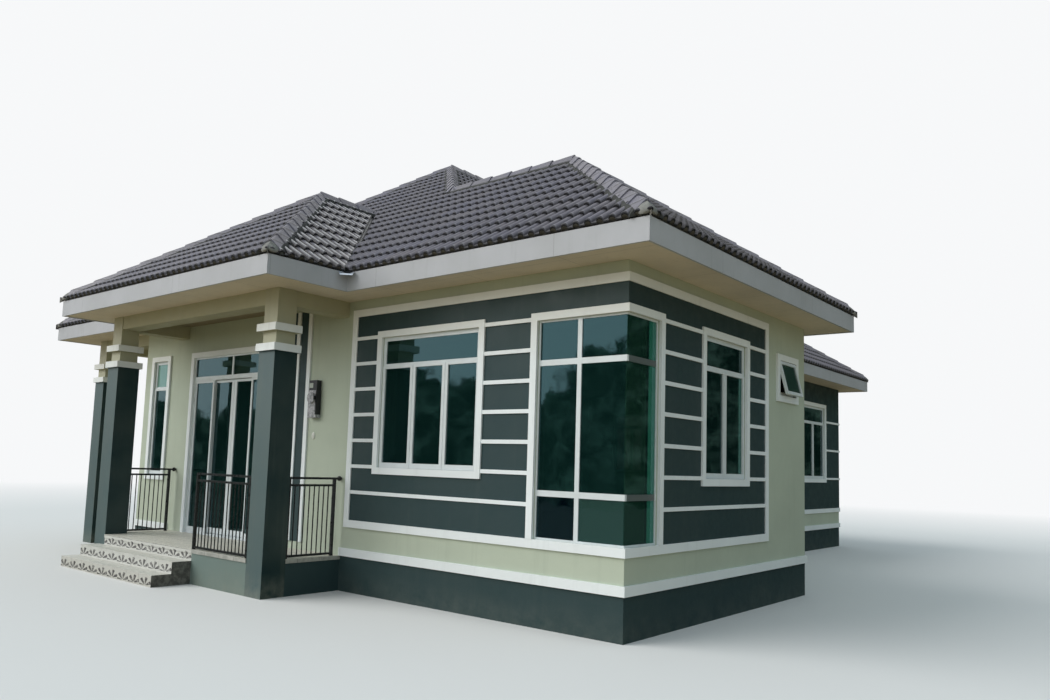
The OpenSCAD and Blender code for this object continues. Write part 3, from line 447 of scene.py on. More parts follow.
def tile_material():
    """Grey roll tiles, each a little different, with painted shade in the pans and under the next course's noses,
    and lichen.
    """
    mat = Material("roof_tiles")
    spot = mat.add("ShaderNodeAttribute", attribute_name="on_slope").outputs["Vector"]
    s, t, slope = mat.split(spot)
    key = mat.add("ShaderNodeCombineXYZ")
    for value, pitch, socket in ((s, TILE_WIDTH, 0), (t, GAUGE, 1)):
        mat.wire(mat.maths("FLOOR", mat.maths("DIVIDE", value, pitch), 0), key.inputs[socket])
    mat.wire(slope, key.inputs[2])
    chance = mat.add("ShaderNodeTexWhiteNoise", noise_dimensions="3D")
    mat.wire(key.outputs[0], chance.inputs["Vector"])
    colour = mat.mix(mat.remap(chance.outputs["Value"], 0, 1, 0, 0.7), TILE, (0.140, 0.128, 0.140))
    colour = mat.tint(mat.cloud(0.7, 4, (0.35, 0.7)), 0.35, colour, (0.072, 0.070, 0.088))
    lichen = mat.cloud(16, 6, (0.60, 0.74), rough=0.75)
    colour = mat.tint(lichen, 0.45, colour, (0.17, 0.17, 0.16))
    up = mat.cell(t, GAUGE)
    # Painted shade under the next course's noses, and a lighter band along each course's lower edge
    colour = mat.mix(mat.remap(up, 0.80, 0.95, 0, 0.85), colour, PAN_SHADE)
    colour = mat.mix(mat.remap(up, 0.10, 0.0, 0, 0.35), colour, (0.30, 0.30, 0.33))
    # Painted shade in the pans, on the tiles but not on the caps
    beside = mat.away(mat.cell(s, ROLL_PITCH), 0.5)
    rolled = mat.maths("LESS_THAN", slope, CAP_NUMBER - 0.5)
    pan_shade_mask = mat.times(rolled, mat.remap(beside, 0.22, 0.33, 0, 0.88))
    colour = mat.mix(pan_shade_mask, colour, PAN_SHADE)

    def on_slope(number):
        return mat.maths("LESS_THAN", mat.away(slope, number), 0.5)

    # Painted shade on the slopes that look to the right
    for number, shade_factor in SLOPE_SHADE:
        colour = mat.mix(on_slope(number), colour, shade_factor, "MULTIPLY")
    porch = on_slope(PORCH_RIGHT)
    # Painted highlight on the rolls' tops of the porch's right slope, and painted shade in its pans
    crest = mat.times(mat.remap(beside, 0.20, 0.10), mat.remap(up, 0.80, 0.65))
    colour = mat.mix(mat.times(porch, crest), colour, PORCH_GLINT)
    colour = mat.mix(mat.times(porch, mat.remap(beside, 0.18, 0.25)), colour, PAN_SHADE)
    rough = mat.cloud(22, 4, to=(0.36, 0.54))
    normal = mat.bump(350, 3, 0.0006, mat.bump(45, 3, 0.0016))
    return mat.finish(colour, rough, normal)


def gap_shade_material():
    """Painted shade: the dark gap under a course's noses."""
    mat = Material("tile_gap_shade")
    colour = mat.mix(mat.noise(20, 3), (0.004, 0.004, 0.004), (0.014, 0.013, 0.012))
    return mat.finish(colour, 0.95, mat.bump(80, 3, 0.002))


def mortar(name, light, deep):
    """Stained mortar with dark specks."""
    mat = Material(name)
    colour = mat.mix(mat.cloud(5, 6, rough=0.7), light, deep)
    specks = mat.cloud(90, 4, (0.55, 0.75), rough=0.7)
    colour = mat.tint(specks, 0.5, colour, (0.05, 0.05, 0.045))
    normal = mat.bump(160, 4, 0.002, mat.bump(28, 4, 0.006))
    return mat.finish(colour, 0.92, normal, specular=0.2)


def metal_sheet(name, light, deep):
    """Dented sheet metal under dull paint or zinc."""
    mat = Material(name)
    colour = mat.mix(mat.noise(12, 4), light, deep)
    rough = mat.cloud(30, 3, to=(0.32, 0.5))
    return mat.finish(colour, rough, mat.bump(9, 3, 0.002), Metallic=0.5)


# Porch stone

FLOOR_TILE = 0.30
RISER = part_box("lower_step")[1].z
NOSING = 0.012
# A fan of leaves on the risers: metres from fan to fan, leaves in a full turn, and how much it is narrowed
LEAF_PITCH = 0.27
LEAF_COUNT = 7.0
LEAF_SQUEEZE = 0.62
LEAF_REACH = (0.012, 0.092)
LEAF_HEIGHT = (0.0, 0.105)


def riser_tiles(mat, x, z):
    """Light tiles with small dark leaves that fan out in pairs."""
    fan = mat.maths("SUBTRACT", mat.cell(x, LEAF_PITCH), 0.5)
    across = mat.times(fan, LEAF_PITCH * LEAF_SQUEEZE)
    height = mat.times(mat.maths("SUBTRACT", mat.cell(z, RISER), 0.10), RISER)
    squares = mat.maths("ADD", mat.times(across, across), mat.times(height, height))
    reach = mat.maths("SQRT", squares, 0)
    turn = mat.maths("ARCTAN2", across, height)
    wave = mat.maths("SINE", mat.times(turn, LEAF_COUNT), 0)
    leaf = mat.over(wave, mat.remap(reach, 0.01, 0.10, -0.55, 0.2))
    leaf = mat.times(leaf, mat.within((reach, *LEAF_REACH), (height, *LEAF_HEIGHT)))
    worn = mat.cloud(34, 5, (0.34, 0.52), (0.25, 1.0), rough=0.7)
    ground = mat.mix(mat.noise(9, 4), (0.62, 0.62, 0.58), (0.50, 0.50, 0.47))
    return mat.tint(leaf, worn, ground, (0.075, 0.070, 0.072))


def faces_sideways(mat, normal):
    """1 on faces that look to the left or the right."""
    return mat.over(mat.maths("ABSOLUTE", normal[0], 0), 0.5)


def porch_stone(slab_z, top_z, steps_lo, steps_hi):
    """Painted base with painted light where it does not look left or right, a stone edge, grey floor tiles, and a
    tiled riser over the steps.
    """
    mat = Material("porch_base")
    x, y, z = mat.split()
    normal = mat.normal()
    # Painted light: faces that do not look left or right take a lit copy of the dark paint
    base = stains_and_eaves_shade(mat, (0.155, 0.215, 0.20), 0.6)
    base = mat.mix(faces_sideways(mat, normal), base, DARK)
    edge = mat.mix(mat.cloud(11, 5, rough=0.65), (0.46, 0.46, 0.43), (0.24, 0.25, 0.23))
    edge = mat.mix(joint_lines(mat, (x, y), FLOOR_TILE, 0.004), edge, (0.10, 0.10, 0.09))
    top = mat.mix(mat.cloud(40, 4, (0.4, 0.6)), (0.50, 0.49, 0.44), (0.66, 0.64, 0.56))
    top = mat.mix(joint_lines(mat, (x, y), FLOOR_TILE, 0.005), top, (0.20, 0.20, 0.17))
    colour = mat.mix(mat.over(z, slab_z), base, edge)
    riser = mat.within((x, steps_lo.x, steps_hi.x), (normal[1], -2, -0.5), (z, steps_hi.z, top_z - NOSING))
    colour = mat.mix(riser, colour, riser_tiles(mat, x, z))
    colour = mat.mix(mat.over(z, top_z - 0.002), colour, top)
    return mat.finish(colour, 0.5, render_coat(mat), specular=0.4)


def step_stone():
    """Steps: beige treads, patterned risers at the front and dark veined tiles at the ends."""
    mat = Material("step_tiles")
    x, _, z = mat.split()
    normal = mat.normal()
    tread = mat.mix(mat.cloud(26, 5, (0.35, 0.65)), (0.66, 0.65, 0.58), (0.52, 0.52, 0.47))
    veins = mat.cloud(15, 6, (0.44, 0.58), rough=0.65)
    marble = mat.mix(veins, (0.018, 0.019, 0.018), (0.34, 0.33, 0.31))
    colour = mat.mix(faces_sideways(mat, normal), riser_tiles(mat, x, z), marble)
    colour = mat.mix(mat.over(normal[2], 0.5), colour, tread)
    colour = mat.tint(joint_lines(mat, (x,), FLOOR_TILE, 0.004), 0.7, colour, (0.12, 0.12, 0.11))
    return mat.finish(colour, 0.38, mat.bump(60, 4, 0.0006), specular=0.45)


def plastic(name, colour, rough):
    """Moulded plastic, a little yellowed."""
    mat = Material(name)
    tinted = mat.tint(mat.noise(30, 4), 0.4, colour, GRIME)
    return mat.finish(tinted, rough, mat.bump(400, 2, 0.0003))


def meter_case(split_z, lo, hi):
    """Clouded clear cover below, a dark fuse box with a pale window above, and dark right sides."""
    mat = Material("meter_case")
    x, _, z = mat.split()
    wide = hi.x - lo.x
    pale = mat.mix(mat.cloud(22, 5, (0.38, 0.62), rough=0.7), (0.52, 0.52, 0.55), (0.16, 0.17, 0.18))
    dark = mat.mix(mat.noise(20, 3), (0.006, 0.007, 0.010), (0.020, 0.022, 0.028))
    window = mat.within((x, lo.x, lo.x + 0.5 * wide), (z, split_z + 0.03, hi.z - 0.035))
    colour = mat.mix(mat.over(z, split_z), pale, mat.mix(window, dark, (0.36, 0.40, 0.36)))
    side = mat.within((x, hi.x - 0.12 * wide, hi.x + 1), (z, lo.z + 0.04, hi.z + 1))
    colour = mat.mix(side, colour, dark)
    return mat.finish(colour, 0.3, mat.bump(120, 3, 0.0006))


SASH_TILT = radians(14)
SASH_THICK = 0.030
SASH_BAR = 0.038


def sash(lo, hi):
    """The tilted sash: white bars round a dark pane."""
    mat = Material("sash")
    x, y, z = mat.split()
    sine, cosine = sin(SASH_TILT), cos(SASH_TILT)
    head = hi.z - SASH_THICK * sine
    length = (head - lo.z) / cosine
    out = mat.times(mat.maths("SUBTRACT", x, lo.x), sine)
    down = mat.maths("SUBTRACT", out, mat.times(mat.maths("SUBTRACT", z, head), cosine))
    inset = SASH_BAR + 0.0005
    pane = mat.within((y, lo.y + inset, hi.y - inset), (down, inset, length - inset))
    colour = mat.mix(pane, powder_coat(mat), (0.010, 0.036, 0.028))
    rough = mat.remap(pane, 0, 1, 0.36, 0.08)
    return mat.finish(colour, rough, mat.bump(500, 2, 0.0001), specular=0.6)


# Meshes


def new_piece(mesh, slot, *materials, stands_for=None):
    """A visible piece with its mesh's name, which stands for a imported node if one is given."""
    piece = new_object(mesh.name, mesh, *materials)
    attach(piece, "house")
    if stands_for:
        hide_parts(stands_for)


def mesh_from(name, points, faces, marks=None):
    mesh = bpy.data.meshes.new(name)
    mesh.from_pydata([tuple(p) for p in points], [], faces)
    if marks:
        mesh.polygons.foreach_set("material_index", marks)
    mesh.validate()
    return mesh


def mesh_of(solids, name):
    """Turns a bmesh into a mesh."""
    mesh = bpy.data.meshes.new(name)
    solids.to_mesh(mesh)
    solids.free()
    return mesh


def smooth(mesh, sharp):
    """Shades a mesh round. Edges over the given degrees stay sharp."""
    mesh.shade_smooth()
    mesh.set_sharp_from_angle(angle=radians(sharp))


def right_of(way):
    """The plan direction to the right of another one."""
    return Vector((way.y, -way.x))


def across(base, side, outline):
    """An outline of sideways places and heights, set upright on a point."""
    return [base + Vector((side.x * w, side.y * w, z)) for w, z in outline]


class Builder:
    """Gathers closed solids into one mesh."""

    def __init__(self):
        self.points, self.faces, self.marks = [], [], []

    def loft(self, rings, mark=0, closed=False):
        """Skins rings of equal length and caps the two ends, or joins them round if closed."""
        start, n = len(self.points), len(rings[0])
        for ring in rings:
            self.points.extend(ring)
        spans = len(rings) if closed else len(rings) - 1
        for i in range(spans):
            a, b = start + i * n, start + (i + 1) % len(rings) * n
            for j in range(n):
                k = (j + 1) % n
                self.faces.append((a + j, a + k, b + k, b + j))
                self.marks.append(mark)
        if not closed:
            self.faces.append(tuple(start + j for j in reversed(range(n))))
            self.faces.append(tuple(start + (len(rings) - 1) * n + j for j in range(n)))
            self.marks.extend((mark, mark))

    def mesh(self, name):
        """The gathered solids as one mesh, with every face turned outwards."""
        mesh = mesh_from(name, self.points, self.faces, self.marks)
        solids = bmesh.new()
        solids.from_mesh(mesh)
        bmesh.ops.recalc_face_normals(solids, faces=solids.faces)
        solids.to_mesh(mesh)
        solids.free()
        return mesh


# Roof geometry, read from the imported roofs

main_lo, main_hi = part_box("main_roof")
wing_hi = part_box("wing_roof")[1]
porch_lo, porch_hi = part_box("porch_roof")
main_half = (main_hi.x - main_lo.x) / 2
wing_half = (wing_hi.y - main_lo.y) / 2
porch_half = (porch_hi.x - porch_lo.x) / 2
RISE = (main_hi.z - wing_hi.z) / (main_half - wing_half)
HIP_RISE = RISE * sqrt(0.5)
COS = 1 / hypot(1, RISE)
EDGE_Z = main_hi.z - RISE * main_half
FASCIA_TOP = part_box("fascia")[1].z

# Plan corners: f is front, b back, l left and r right
main_fl = main_lo.xy
main_bl = Vector((main_lo.x, main_hi.y))
main_br = main_hi.xy
front_apex = main_fl + Vector((main_half, main_half))
back_apex = main_br - Vector((main_half, main_half))
wing_fr = Vector((wing_hi.x, main_lo.y))
wing_br = wing_hi.xy
wing_valley = Vector((main_hi.x, wing_hi.y))
wing_apex = wing_br - Vector((wing_half, wing_half))
wing_meet = Vector((main_hi.x - wing_half, wing_apex.y))
wing_eave = Vector((wing_meet.x, main_lo.y))
porch_fl = porch_lo.xy
porch_fr = Vector((porch_hi.x, porch_lo.y))
porch_apex = porch_fl + Vector((porch_half, porch_half))
valley_l = Vector((porch_lo.x, main_lo.y))
valley_r = Vector((porch_hi.x, main_lo.y))
porch_meet = Vector((porch_apex.x, main_lo.y + porch_half))
hip_by_porch = Vector((porch_meet.x, front_apex.y - (porch_meet.x - front_apex.x)))
HIPS = [(main_fl, front_apex), (main_bl, back_apex), (main_br, back_apex), (wing_meet, front_apex),
        (wing_br, wing_apex), (wing_fr, wing_apex), (porch_fl, porch_apex), (porch_fr, porch_apex)]
RIDGES = [(front_apex, back_apex), (wing_apex, wing_meet), (porch_apex, porch_meet)]
VALLEYS = [(valley_l, porch_meet), (valley_r, porch_meet), (wing_valley, wing_meet)]

# One roll and its pan across, as places between 0 and 1 with a height between 0 and 1
ROLL_HALF = 0.29
ROLL_TURNS = [radians(a) for a in (-90, -62, -34, -8, 16, 42, 66, 90)]
ROLL = [(0.5 + ROLL_HALF * sin(a), cos(a)) for a in ROLL_TURNS]
PROFILE = [(0.0, -0.04), (0.10, -0.05)] + ROLL + [(0.90, -0.05)]
ROLL_H = 0.040
ROLL_MEAN = 0.36
NOSE_GAP = 0.008
NOSE = 0.016
MEAN = ROLL_H * ROLL_MEAN + (NOSE_GAP + NOSE) / 2
# The first course starts this far inside the eaves, so that its noses end over their edge
EAVE_IN = (ROLL_H + NOSE_GAP + NOSE - MEAN) * RISE * COS
# How far under the slope's plane the tiles are closed: just over the fascia
CLOSED_BELOW = EDGE_Z - FASCIA_TOP - 0.002
VALLEY_CUT = 0.030
FILL_DROP = 0.006
FILL_IN = 0.022
# Materials of a slope's faces
TILE_MARK, GAP_MARK, FILLER_MARK, UNDER_MARK = range(4)


class Slope:
    """A roof plane with its own plan axes: s along the eaves and u uphill, from a corner at the eaves."""

    def __init__(self, number, eave, up):
        self.number, self.eave, self.up = number, eave, up
        self.along = right_of(up)
        self.outward = Vector((-up.x * RISE * COS, -up.y * RISE * COS, COS))
        # A roll's left edge: one roll's middle is on the house's corner
        self.first_roll = (HOUSE_CORNER.xy - eave).dot(self.along) - ROLL_PITCH / 2

    def place(self, plan):
        """A plan point as s and u."""
        return (plan - self.eave).dot(self.along), (plan - self.eave).dot(self.up)

    def spot(self, s, u, h):
        """A point h over the pans, u uphill from the first course."""
        u += EAVE_IN
        plan = self.eave + self.along * s + self.up * u
        return Vector((*plan, EDGE_Z + RISE * u)) + self.outward * (h - MEAN)

    def rolls(self, low, high):
        """Places along the eaves between two bounds, with the roll's height at each."""
        places = []
        k = floor((low - self.first_roll) / ROLL_PITCH)
        while k * ROLL_PITCH + self.first_roll < high + ROLL_PITCH:
            for part, height in PROFILE:
                places.append(((k + part) * ROLL_PITCH + self.first_roll, height * ROLL_H))
            k += 1
        return places

    def tile_place(self, point):
        """What the tiles' attribute says at a point."""
        s, u = self.place(point.xy)
        return s - self.first_roll, (u - EAVE_IN) / COS, self.number


def mark_points(mesh, tile_place):
    """Writes the tiles' attribute."""
    layer = mesh.attributes.new("on_slope", "FLOAT_VECTOR", "POINT")
    layer.data.foreach_set("vector", [value for v in mesh.vertices for value in tile_place(v.co)])


def clip_range(polygon, low, high):
    """Least and greatest s of a polygon of (s, u) points between two values of u."""
    inside = [p[0] for p in polygon if low <= p[1] <= high]
    for a, b in zip(polygon, polygon[1:] + polygon[:1]):
        for level in (low, high):
            if (a[1] - level) * (b[1] - level) < 0:
                f = (level - a[1]) / (b[1] - a[1])
                inside.append(a[0] + f * (b[0] - a[0]))
    return min(inside), max(inside)


def lay_courses(part, slope, cell):
    """Courses of tiles from the eaves up, a little wider than a cell, with noses over the course below."""
    local = [slope.place(p) for p in cell]
    top = max(u for _, u in local)
    gauge_u = GAUGE * COS
    course = 0
    while course * gauge_u + EAVE_IN < top - 1e-4:
        u0, u1 = course * gauge_u, min((course + 1) * gauge_u, top + 0.05)
        low, high = clip_range(local, u0 - 0.02, u1 + 0.02)
        left = (NOSE_GAP + NOSE) * (1 - (u1 - u0) / gauge_u)
        rolls = slope.rolls(low - 0.02, high + 0.02)
        # A row: its u, its line across, two lifts over that, and the mark of the faces above it
        rows = [
            (u0, rolls, 0.0, 0.0, GAP_MARK),
            (u0, rolls, NOSE_GAP, 0.0, TILE_MARK),
            (u0 + 0.001, rolls, NOSE_GAP, NOSE * 0.75, TILE_MARK),
            (u0 + 0.006, rolls, NOSE_GAP, NOSE, TILE_MARK),
            (u1, rolls, 0.0, left, None),
        ]
        if course == 0:
            level = [(s, -FILL_DROP) for s, _ in rolls]
            rows.insert(0, (u0 + FILL_IN, level, 0.0, 0.0, FILLER_MARK))
        made = [[part.verts.new(slope.spot(s, u, h + a + b)) for s, h in line] for u, line, a, b, _ in rows]
        for lower, upper, row in zip(made, made[1:], rows):
            for i in range(len(rolls) - 1):
                face = part.faces.new((lower[i], lower[i + 1], upper[i + 1], upper[i]))
                face.material_index = row[-1]
        course += 1
    bmesh.ops.remove_doubles(part, verts=part.verts, dist=1e-5)


def is_valley(a, b):
    return (a, b) in VALLEYS or (b, a) in VALLEYS


def cut_to_cell(part, slope, cell):
    """Cuts the tiles off at a cell's edges apart from the eaves, and clear of the valleys."""
    for a, b in zip(cell, cell[1:] + cell[:1]):
        edge = b - a
        if abs(edge.dot(slope.up)) < 1e-6 and abs(slope.place(a)[1]) < 1e-6:
            continue
        out = Vector((edge.y, -edge.x, 0)).normalized()
        at = Vector((*a, 0)) - out * (VALLEY_CUT if is_valley(a, b) else 0.0)
        geometry = part.verts[:] + part.edges[:] + part.faces[:]
        bmesh.ops.bisect_plane(part, geom=geometry, plane_co=at, plane_no=out, clear_outer=True)
    bmesh.ops.remove_doubles(part, verts=part.verts, dist=2e-5)


def close_below(part, slope):
    """Skirt from the open edge down to a plane under the tiles, and a floor over it."""
    rim = [e for e in part.edges if e.is_boundary]
    made = bmesh.ops.extrude_edge_only(part, edges=rim)["geom"]
    fresh = [v for v in made if isinstance(v, bmesh.types.BMVert)]
    for v in fresh:
        v.co.z = EDGE_Z + RISE * slope.place(v.co.xy)[1] - CLOSED_BELOW
    skirt = {f for v in fresh for f in v.link_faces}
    floor_edges = [e for e in made if isinstance(e, bmesh.types.BMEdge) and e.is_boundary]
    floor = bmesh.ops.edgeloop_fill(part, edges=floor_edges)["faces"]
    for f in [*skirt, *floor]:
        f.material_index = UNDER_MARK


def build_slope(name, slope, cells, stands_for):
    """Tiles one slope, cell by cell. Cells are convex plan polygons, counterclockwise."""
    whole = bmesh.new()
    for cell in cells:
        part = bmesh.new()
        lay_courses(part, slope, cell)
        cut_to_cell(part, slope, cell)
        close_below(part, slope)
        mesh = mesh_of(part, "part")
        whole.from_mesh(mesh)
        bpy.data.meshes.remove(mesh)
    bmesh.ops.recalc_face_normals(whole, faces=whole.faces)
    mesh = mesh_of(whole, name)
    mark_points(mesh, slope.tile_place)
    smooth(mesh, 38)
    new_piece(mesh, "roof_tiles", TILES, GAP, FILLER, UNDERSIDE, stands_for=stands_for)


TILES = tile_material()
# Painted shade under the tiles' noses
GAP = gap_shade_material()
FILLER = mortar("eaves_filler", (0.13, 0.125, 0.11), (0.045, 0.043, 0.04))
UNDERSIDE = mortar("eaves_underside", (0.42, 0.41, 0.38), (0.28, 0.27, 0.25))
BEDDING = mortar("hip_mortar", (0.075, 0.078, 0.075), (0.030, 0.031, 0.029))
FOOT_MORTAR = mortar("foot_mortar", (0.30, 0.30, 0.28), (0.12, 0.12, 0.115))
VALLEY = metal_sheet("valley_metal", (0.035, 0.037, 0.042), (0.065, 0.068, 0.075))
TRAY = metal_sheet("tray_metal", (0.52, 0.60, 0.70), (0.70, 0.76, 0.84))

NORTH, SOUTH, EAST, WEST = (Vector(v) for v in ((0, 1), (0, -1), (1, 0), (-1, 0)))
FRONT_CELLS = [
    [main_fl, valley_l, porch_meet, hip_by_porch, front_apex],
    [valley_r, wing_eave, wing_meet, hip_by_porch, porch_meet],
    [wing_eave, wing_fr, wing_apex, wing_meet],
]
# Name, corner at the eaves, uphill direction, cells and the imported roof
SLOPES = [
    ("front_tiles", main_fl, NORTH, FRONT_CELLS, "main_roof"),
    ("left_tiles", main_bl, EAST, [[main_bl, main_fl, front_apex, back_apex]], "main_roof"),
    ("rear_tiles", main_br, SOUTH, [[main_br, main_bl, back_apex]], "main_roof"),
    ("right_tiles", wing_valley, WEST,
     [[wing_valley, main_br, back_apex, front_apex, wing_meet]], "main_roof"),
    ("wing_rear_tiles", wing_br, SOUTH, [[wing_br, wing_valley, wing_meet, wing_apex]], "wing_roof"),
    ("wing_right_tiles", wing_fr, WEST, [[wing_fr, wing_br, wing_apex]], "wing_roof"),
    ("porch_front_tiles", porch_fl, NORTH, [[porch_fl, porch_fr, porch_apex]], "porch_roof"),
    ("porch_left_tiles", valley_l, EAST, [[valley_l, porch_fl, porch_apex, porch_meet]], "porch_roof"),
    ("porch_right_tiles", porch_fr, WEST, [[porch_fr, valley_r, porch_meet, porch_apex]], "porch_roof"),
]
for number, (name, eave, up, cells, stands_for) in enumerate(SLOPES):
    build_slope(name, Slope(number, eave, up), cells, stands_for)

# Caps over hips and ridges, and the mortar that beds them

CAP_LENGTH = 0.40
CAP_SHOWN = 0.33
CAP_HALF = 0.112
CAP_TOP = 0.082
CAP_CREST = [(-0.026, -0.017), (-0.013, -0.004), (0.0, 0.0), (0.013, -0.004), (0.026, -0.017)]
CAP_SIDE = 0.024
CAP_T = 0.014
CAP_STEP = 0.020
CAP_NOSE = 0.02
# The caps' shown parts end short of a line's end, and the last cap may reach over it
CAP_SHORT = 0.05
CAP_OVER = 0.04
WOBBLE = 0.002
BED_STEP = 0.035
BED_MARK, FOOT_MARK = range(2)


def roof_height(p):
    """Mean height of the tiles over a plan point."""
    inward = [min(p.x - main_lo.x, main_hi.x - p.x, p.y - main_lo.y, main_hi.y - p.y)]
    if p.x > wing_meet.x - wing_half:
        inward.append(min(wing_hi.x - p.x, p.y - main_lo.y, wing_hi.y - p.y))
    if p.y < porch_meet.y + porch_half:
        inward.append(min(p.x - porch_lo.x, porch_hi.x - p.x, p.y - porch_lo.y))
    return EDGE_Z + RISE * max(inward)


def cap_section(fall, lift):
    """Outline of a cap across its line, first its outside, then its inside."""
    side_z = -fall * CAP_HALF + CAP_SIDE
    crest = [(w, CAP_TOP + z) for w, z in CAP_CREST]
    outer = [(-CAP_HALF, side_z)] + crest + [(CAP_HALF, side_z)]
    inner = [(w * 0.93, z - CAP_T) for w, z in reversed(outer)]
    return [(w, z + lift) for w, z in outer + inner]


def bed_section(fall, rag, fine):
    """Outline of the mortar at a cap's one side, with a ragged edge."""
    reach = CAP_HALF + 0.022 + 0.014 * rag + 0.008 * fine
    top = -fall * (CAP_HALF - 0.02) + CAP_SIDE + 0.004
    return [
        (CAP_HALF - 0.03, -fall * (CAP_HALF - 0.03) - 0.03),
        (reach + 0.01, -fall * reach - 0.02),
        (reach, -fall * reach + 0.012 + 0.006 * fine),
        (CAP_HALF + 0.004, top - 0.006),
        (CAP_HALF - 0.02, top),
    ]


def cap_run(caps, beds, low, high, fall):
    """Caps from the low plan point to the high one, each over the last, with mortar at both sides."""
    side = right_of((high - low).normalized())
    z0, z1 = roof_height(low), roof_height(high)
    length = hypot((high - low).length, z1 - z0)
    run = Vector((high.x - low.x, high.y - low.y, z1 - z0)) / length
    start = Vector((*low, z0))
    count = max(1, round((length - CAP_SHORT) / CAP_SHOWN))
    shown = (length - CAP_SHORT) / count
    for k in range(count):
        rings = []
        for ahead, lift in ((0.0, CAP_STEP), (CAP_NOSE, CAP_STEP), (CAP_LENGTH, 0.0)):
            base = start + run * min(shown * k + ahead, length + CAP_OVER)
            wobble = random.uniform(-WOBBLE, WOBBLE)
            rings.append(across(base, side, cap_section(fall, lift - CAP_STEP + wobble)))
        caps.loft(rings)
    steps = max(2, int(length / BED_STEP))
    for hand in (-1, 1):
        rings = []
        for i in range(steps + 1):
            t = length * i / steps
            rag = noise.noise(Vector((t * 7.1 + low.x, hand * 3.3, low.y)))
            fine = noise.noise(Vector((t * 31.0, hand * 5.7, low.x)))
            rings.append(across(start + run * t, side * hand, bed_section(fall, rag, fine))[::hand])
        beds.loft(rings, BED_MARK)


# Where the mortar at a hip's foot starts, and its half dome
FOOT = 0.15
FOOT_BACK = (0.17, 0.135)
FOOT_SIZE = (0.095, 0.055)
FOOT_LIFT = 0.012
FOOT_RINGS, FOOT_SIDES = 6, 12


def hip_foot(beds, corner, way):
    """Rounded mortar that closes the lowest cap: half a dome."""
    z = roof_height(corner)
    rings = []
    for i in range(FOOT_RINGS + 1):
        a = radians(90 * i / FOOT_RINGS)
        back = FOOT_BACK[0] - FOOT_BACK[1] * sin(a)
        size = max(cos(a), 0.08)
        base = Vector((corner.x + way.x * back, corner.y + way.y * back, z + HIP_RISE * back))
        outline = []
        for j in range(FOOT_SIDES):
            b = radians(360 * j / FOOT_SIDES)
            w = FOOT_SIZE[0] * size * cos(b)
            h = FOOT_SIZE[1] * size * sin(b) + FOOT_LIFT
            outline.append((w, h - HIP_RISE * abs(w)))
        rings.append(across(base, right_of(way), outline))
    beds.loft(rings, FOOT_MARK)


def keep_inside(mesh):
    """Draws points that pass the CAD model's box back onto it."""
    lo, hi = cad_box
    for v in mesh.vertices:
        for i in range(3):
            v.co[i] = min(max(v.co[i], lo[i]), hi[i])


def add_caps():
    """Caps and their mortar on every hip and ridge."""
    random.seed(7)
    caps, beds = Builder(), Builder()
    for low, high in HIPS:
        way = (high - low).normalized()
        if low is wing_meet:
            cap_run(caps, beds, low, high, HIP_RISE)
        else:
            cap_run(caps, beds, low + way * FOOT, high, HIP_RISE)
            hip_foot(beds, low, way)
    for low, high in RIDGES:
        cap_run(caps, beds, low, high, RISE)
    mesh = caps.mesh("roof_caps")
    keep_inside(mesh)
    mark_points(mesh, lambda point: (point.x * 1.7 + point.y, point.z * 2.1, CAP_NUMBER))
    smooth(mesh, 32)
    new_piece(mesh, "roof_tiles", TILES, stands_for="ridge_caps")
    mesh = beds.mesh("cap_mortar")
    keep_inside(mesh)
    smooth(mesh, 50)
    new_piece(mesh, "roof_tiles", BEDDING, FOOT_MORTAR, stands_for="ridge_caps")


add_caps()

# Sheet metal in the valleys, with outlines across the sheets

SHEET_HALF = 0.10
SHEET_DROP = 0.028
SHEET_EDGE = HIP_RISE * SHEET_HALF
SHEET = [(-SHEET_HALF, SHEET_EDGE), (-0.012, 0.004), (0.0, 0.016), (0.012, 0.004), (SHEET_HALF, SHEET_EDGE),
         (SHEET_HALF, SHEET_EDGE - 0.002), (0.0, -0.002), (-SHEET_HALF, SHEET_EDGE - 0.002)]
# A tray's rings: how far out and how high each one is, and half its width
TRAY_RINGS = ((-0.10, 0.034, 0.05), (0.0, 0.004, 0.075), (0.085, -0.012, 0.085), (0.10, -0.030, 0.08))
TRAY_DROP = 0.045
TRAY_BEND = 0.012


def add_valleys():
    """Bent metal under each valley, with an upturned middle."""
    sheet = Builder()
    for valley in VALLEYS:
        side = right_of((valley[1] - valley[0]).normalized())
        sheet.loft([across(Vector((*p, roof_height(p) - SHEET_DROP)), side, SHEET) for p in valley])
    new_piece(sheet.mesh("valley_sheets"), "roof_tiles", VALLEY)


def add_trays():
    """A bent metal tray at the foot of each porch valley, over the eaves board."""
    trays = Builder()
    for corner, out in ((valley_l, Vector((-1, -1))), (valley_r, Vector((1, -1)))):
        way = out.normalized()
        rings = []
        for reach, height, half in TRAY_RINGS:
            base = Vector((*corner, EDGE_Z - TRAY_DROP + height)) + Vector((*way, 0)) * reach
            bend = half - TRAY_BEND
            rings.append(across(base, right_of(way), [
                (-half, 0.030), (-bend, 0.004), (bend, 0.004), (half, 0.030),
                (half, 0.027), (bend, 0.0), (-bend, 0.0), (-half, 0.027),
            ]))
        trays.loft(rings)
    new_piece(trays.mesh("valley_trays"), "roof_tiles", TRAY)


add_valleys()
add_trays()

STRIP_GAP = 0.001
STRIP_THICK = 0.018
# The bell's switch: its middle from the meter's, half its width and height, and its rings' depths and sizes
SWITCH_PLACE = (-0.028, -0.217)
SWITCH_HALF = (0.028, 0.044)
SWITCH_RINGS = ((0.0, 1.0), (0.008, 1.0), (0.012, 0.86), (0.013, 0.45), (0.018, 0.42))
SWITCH_SIDES = 20


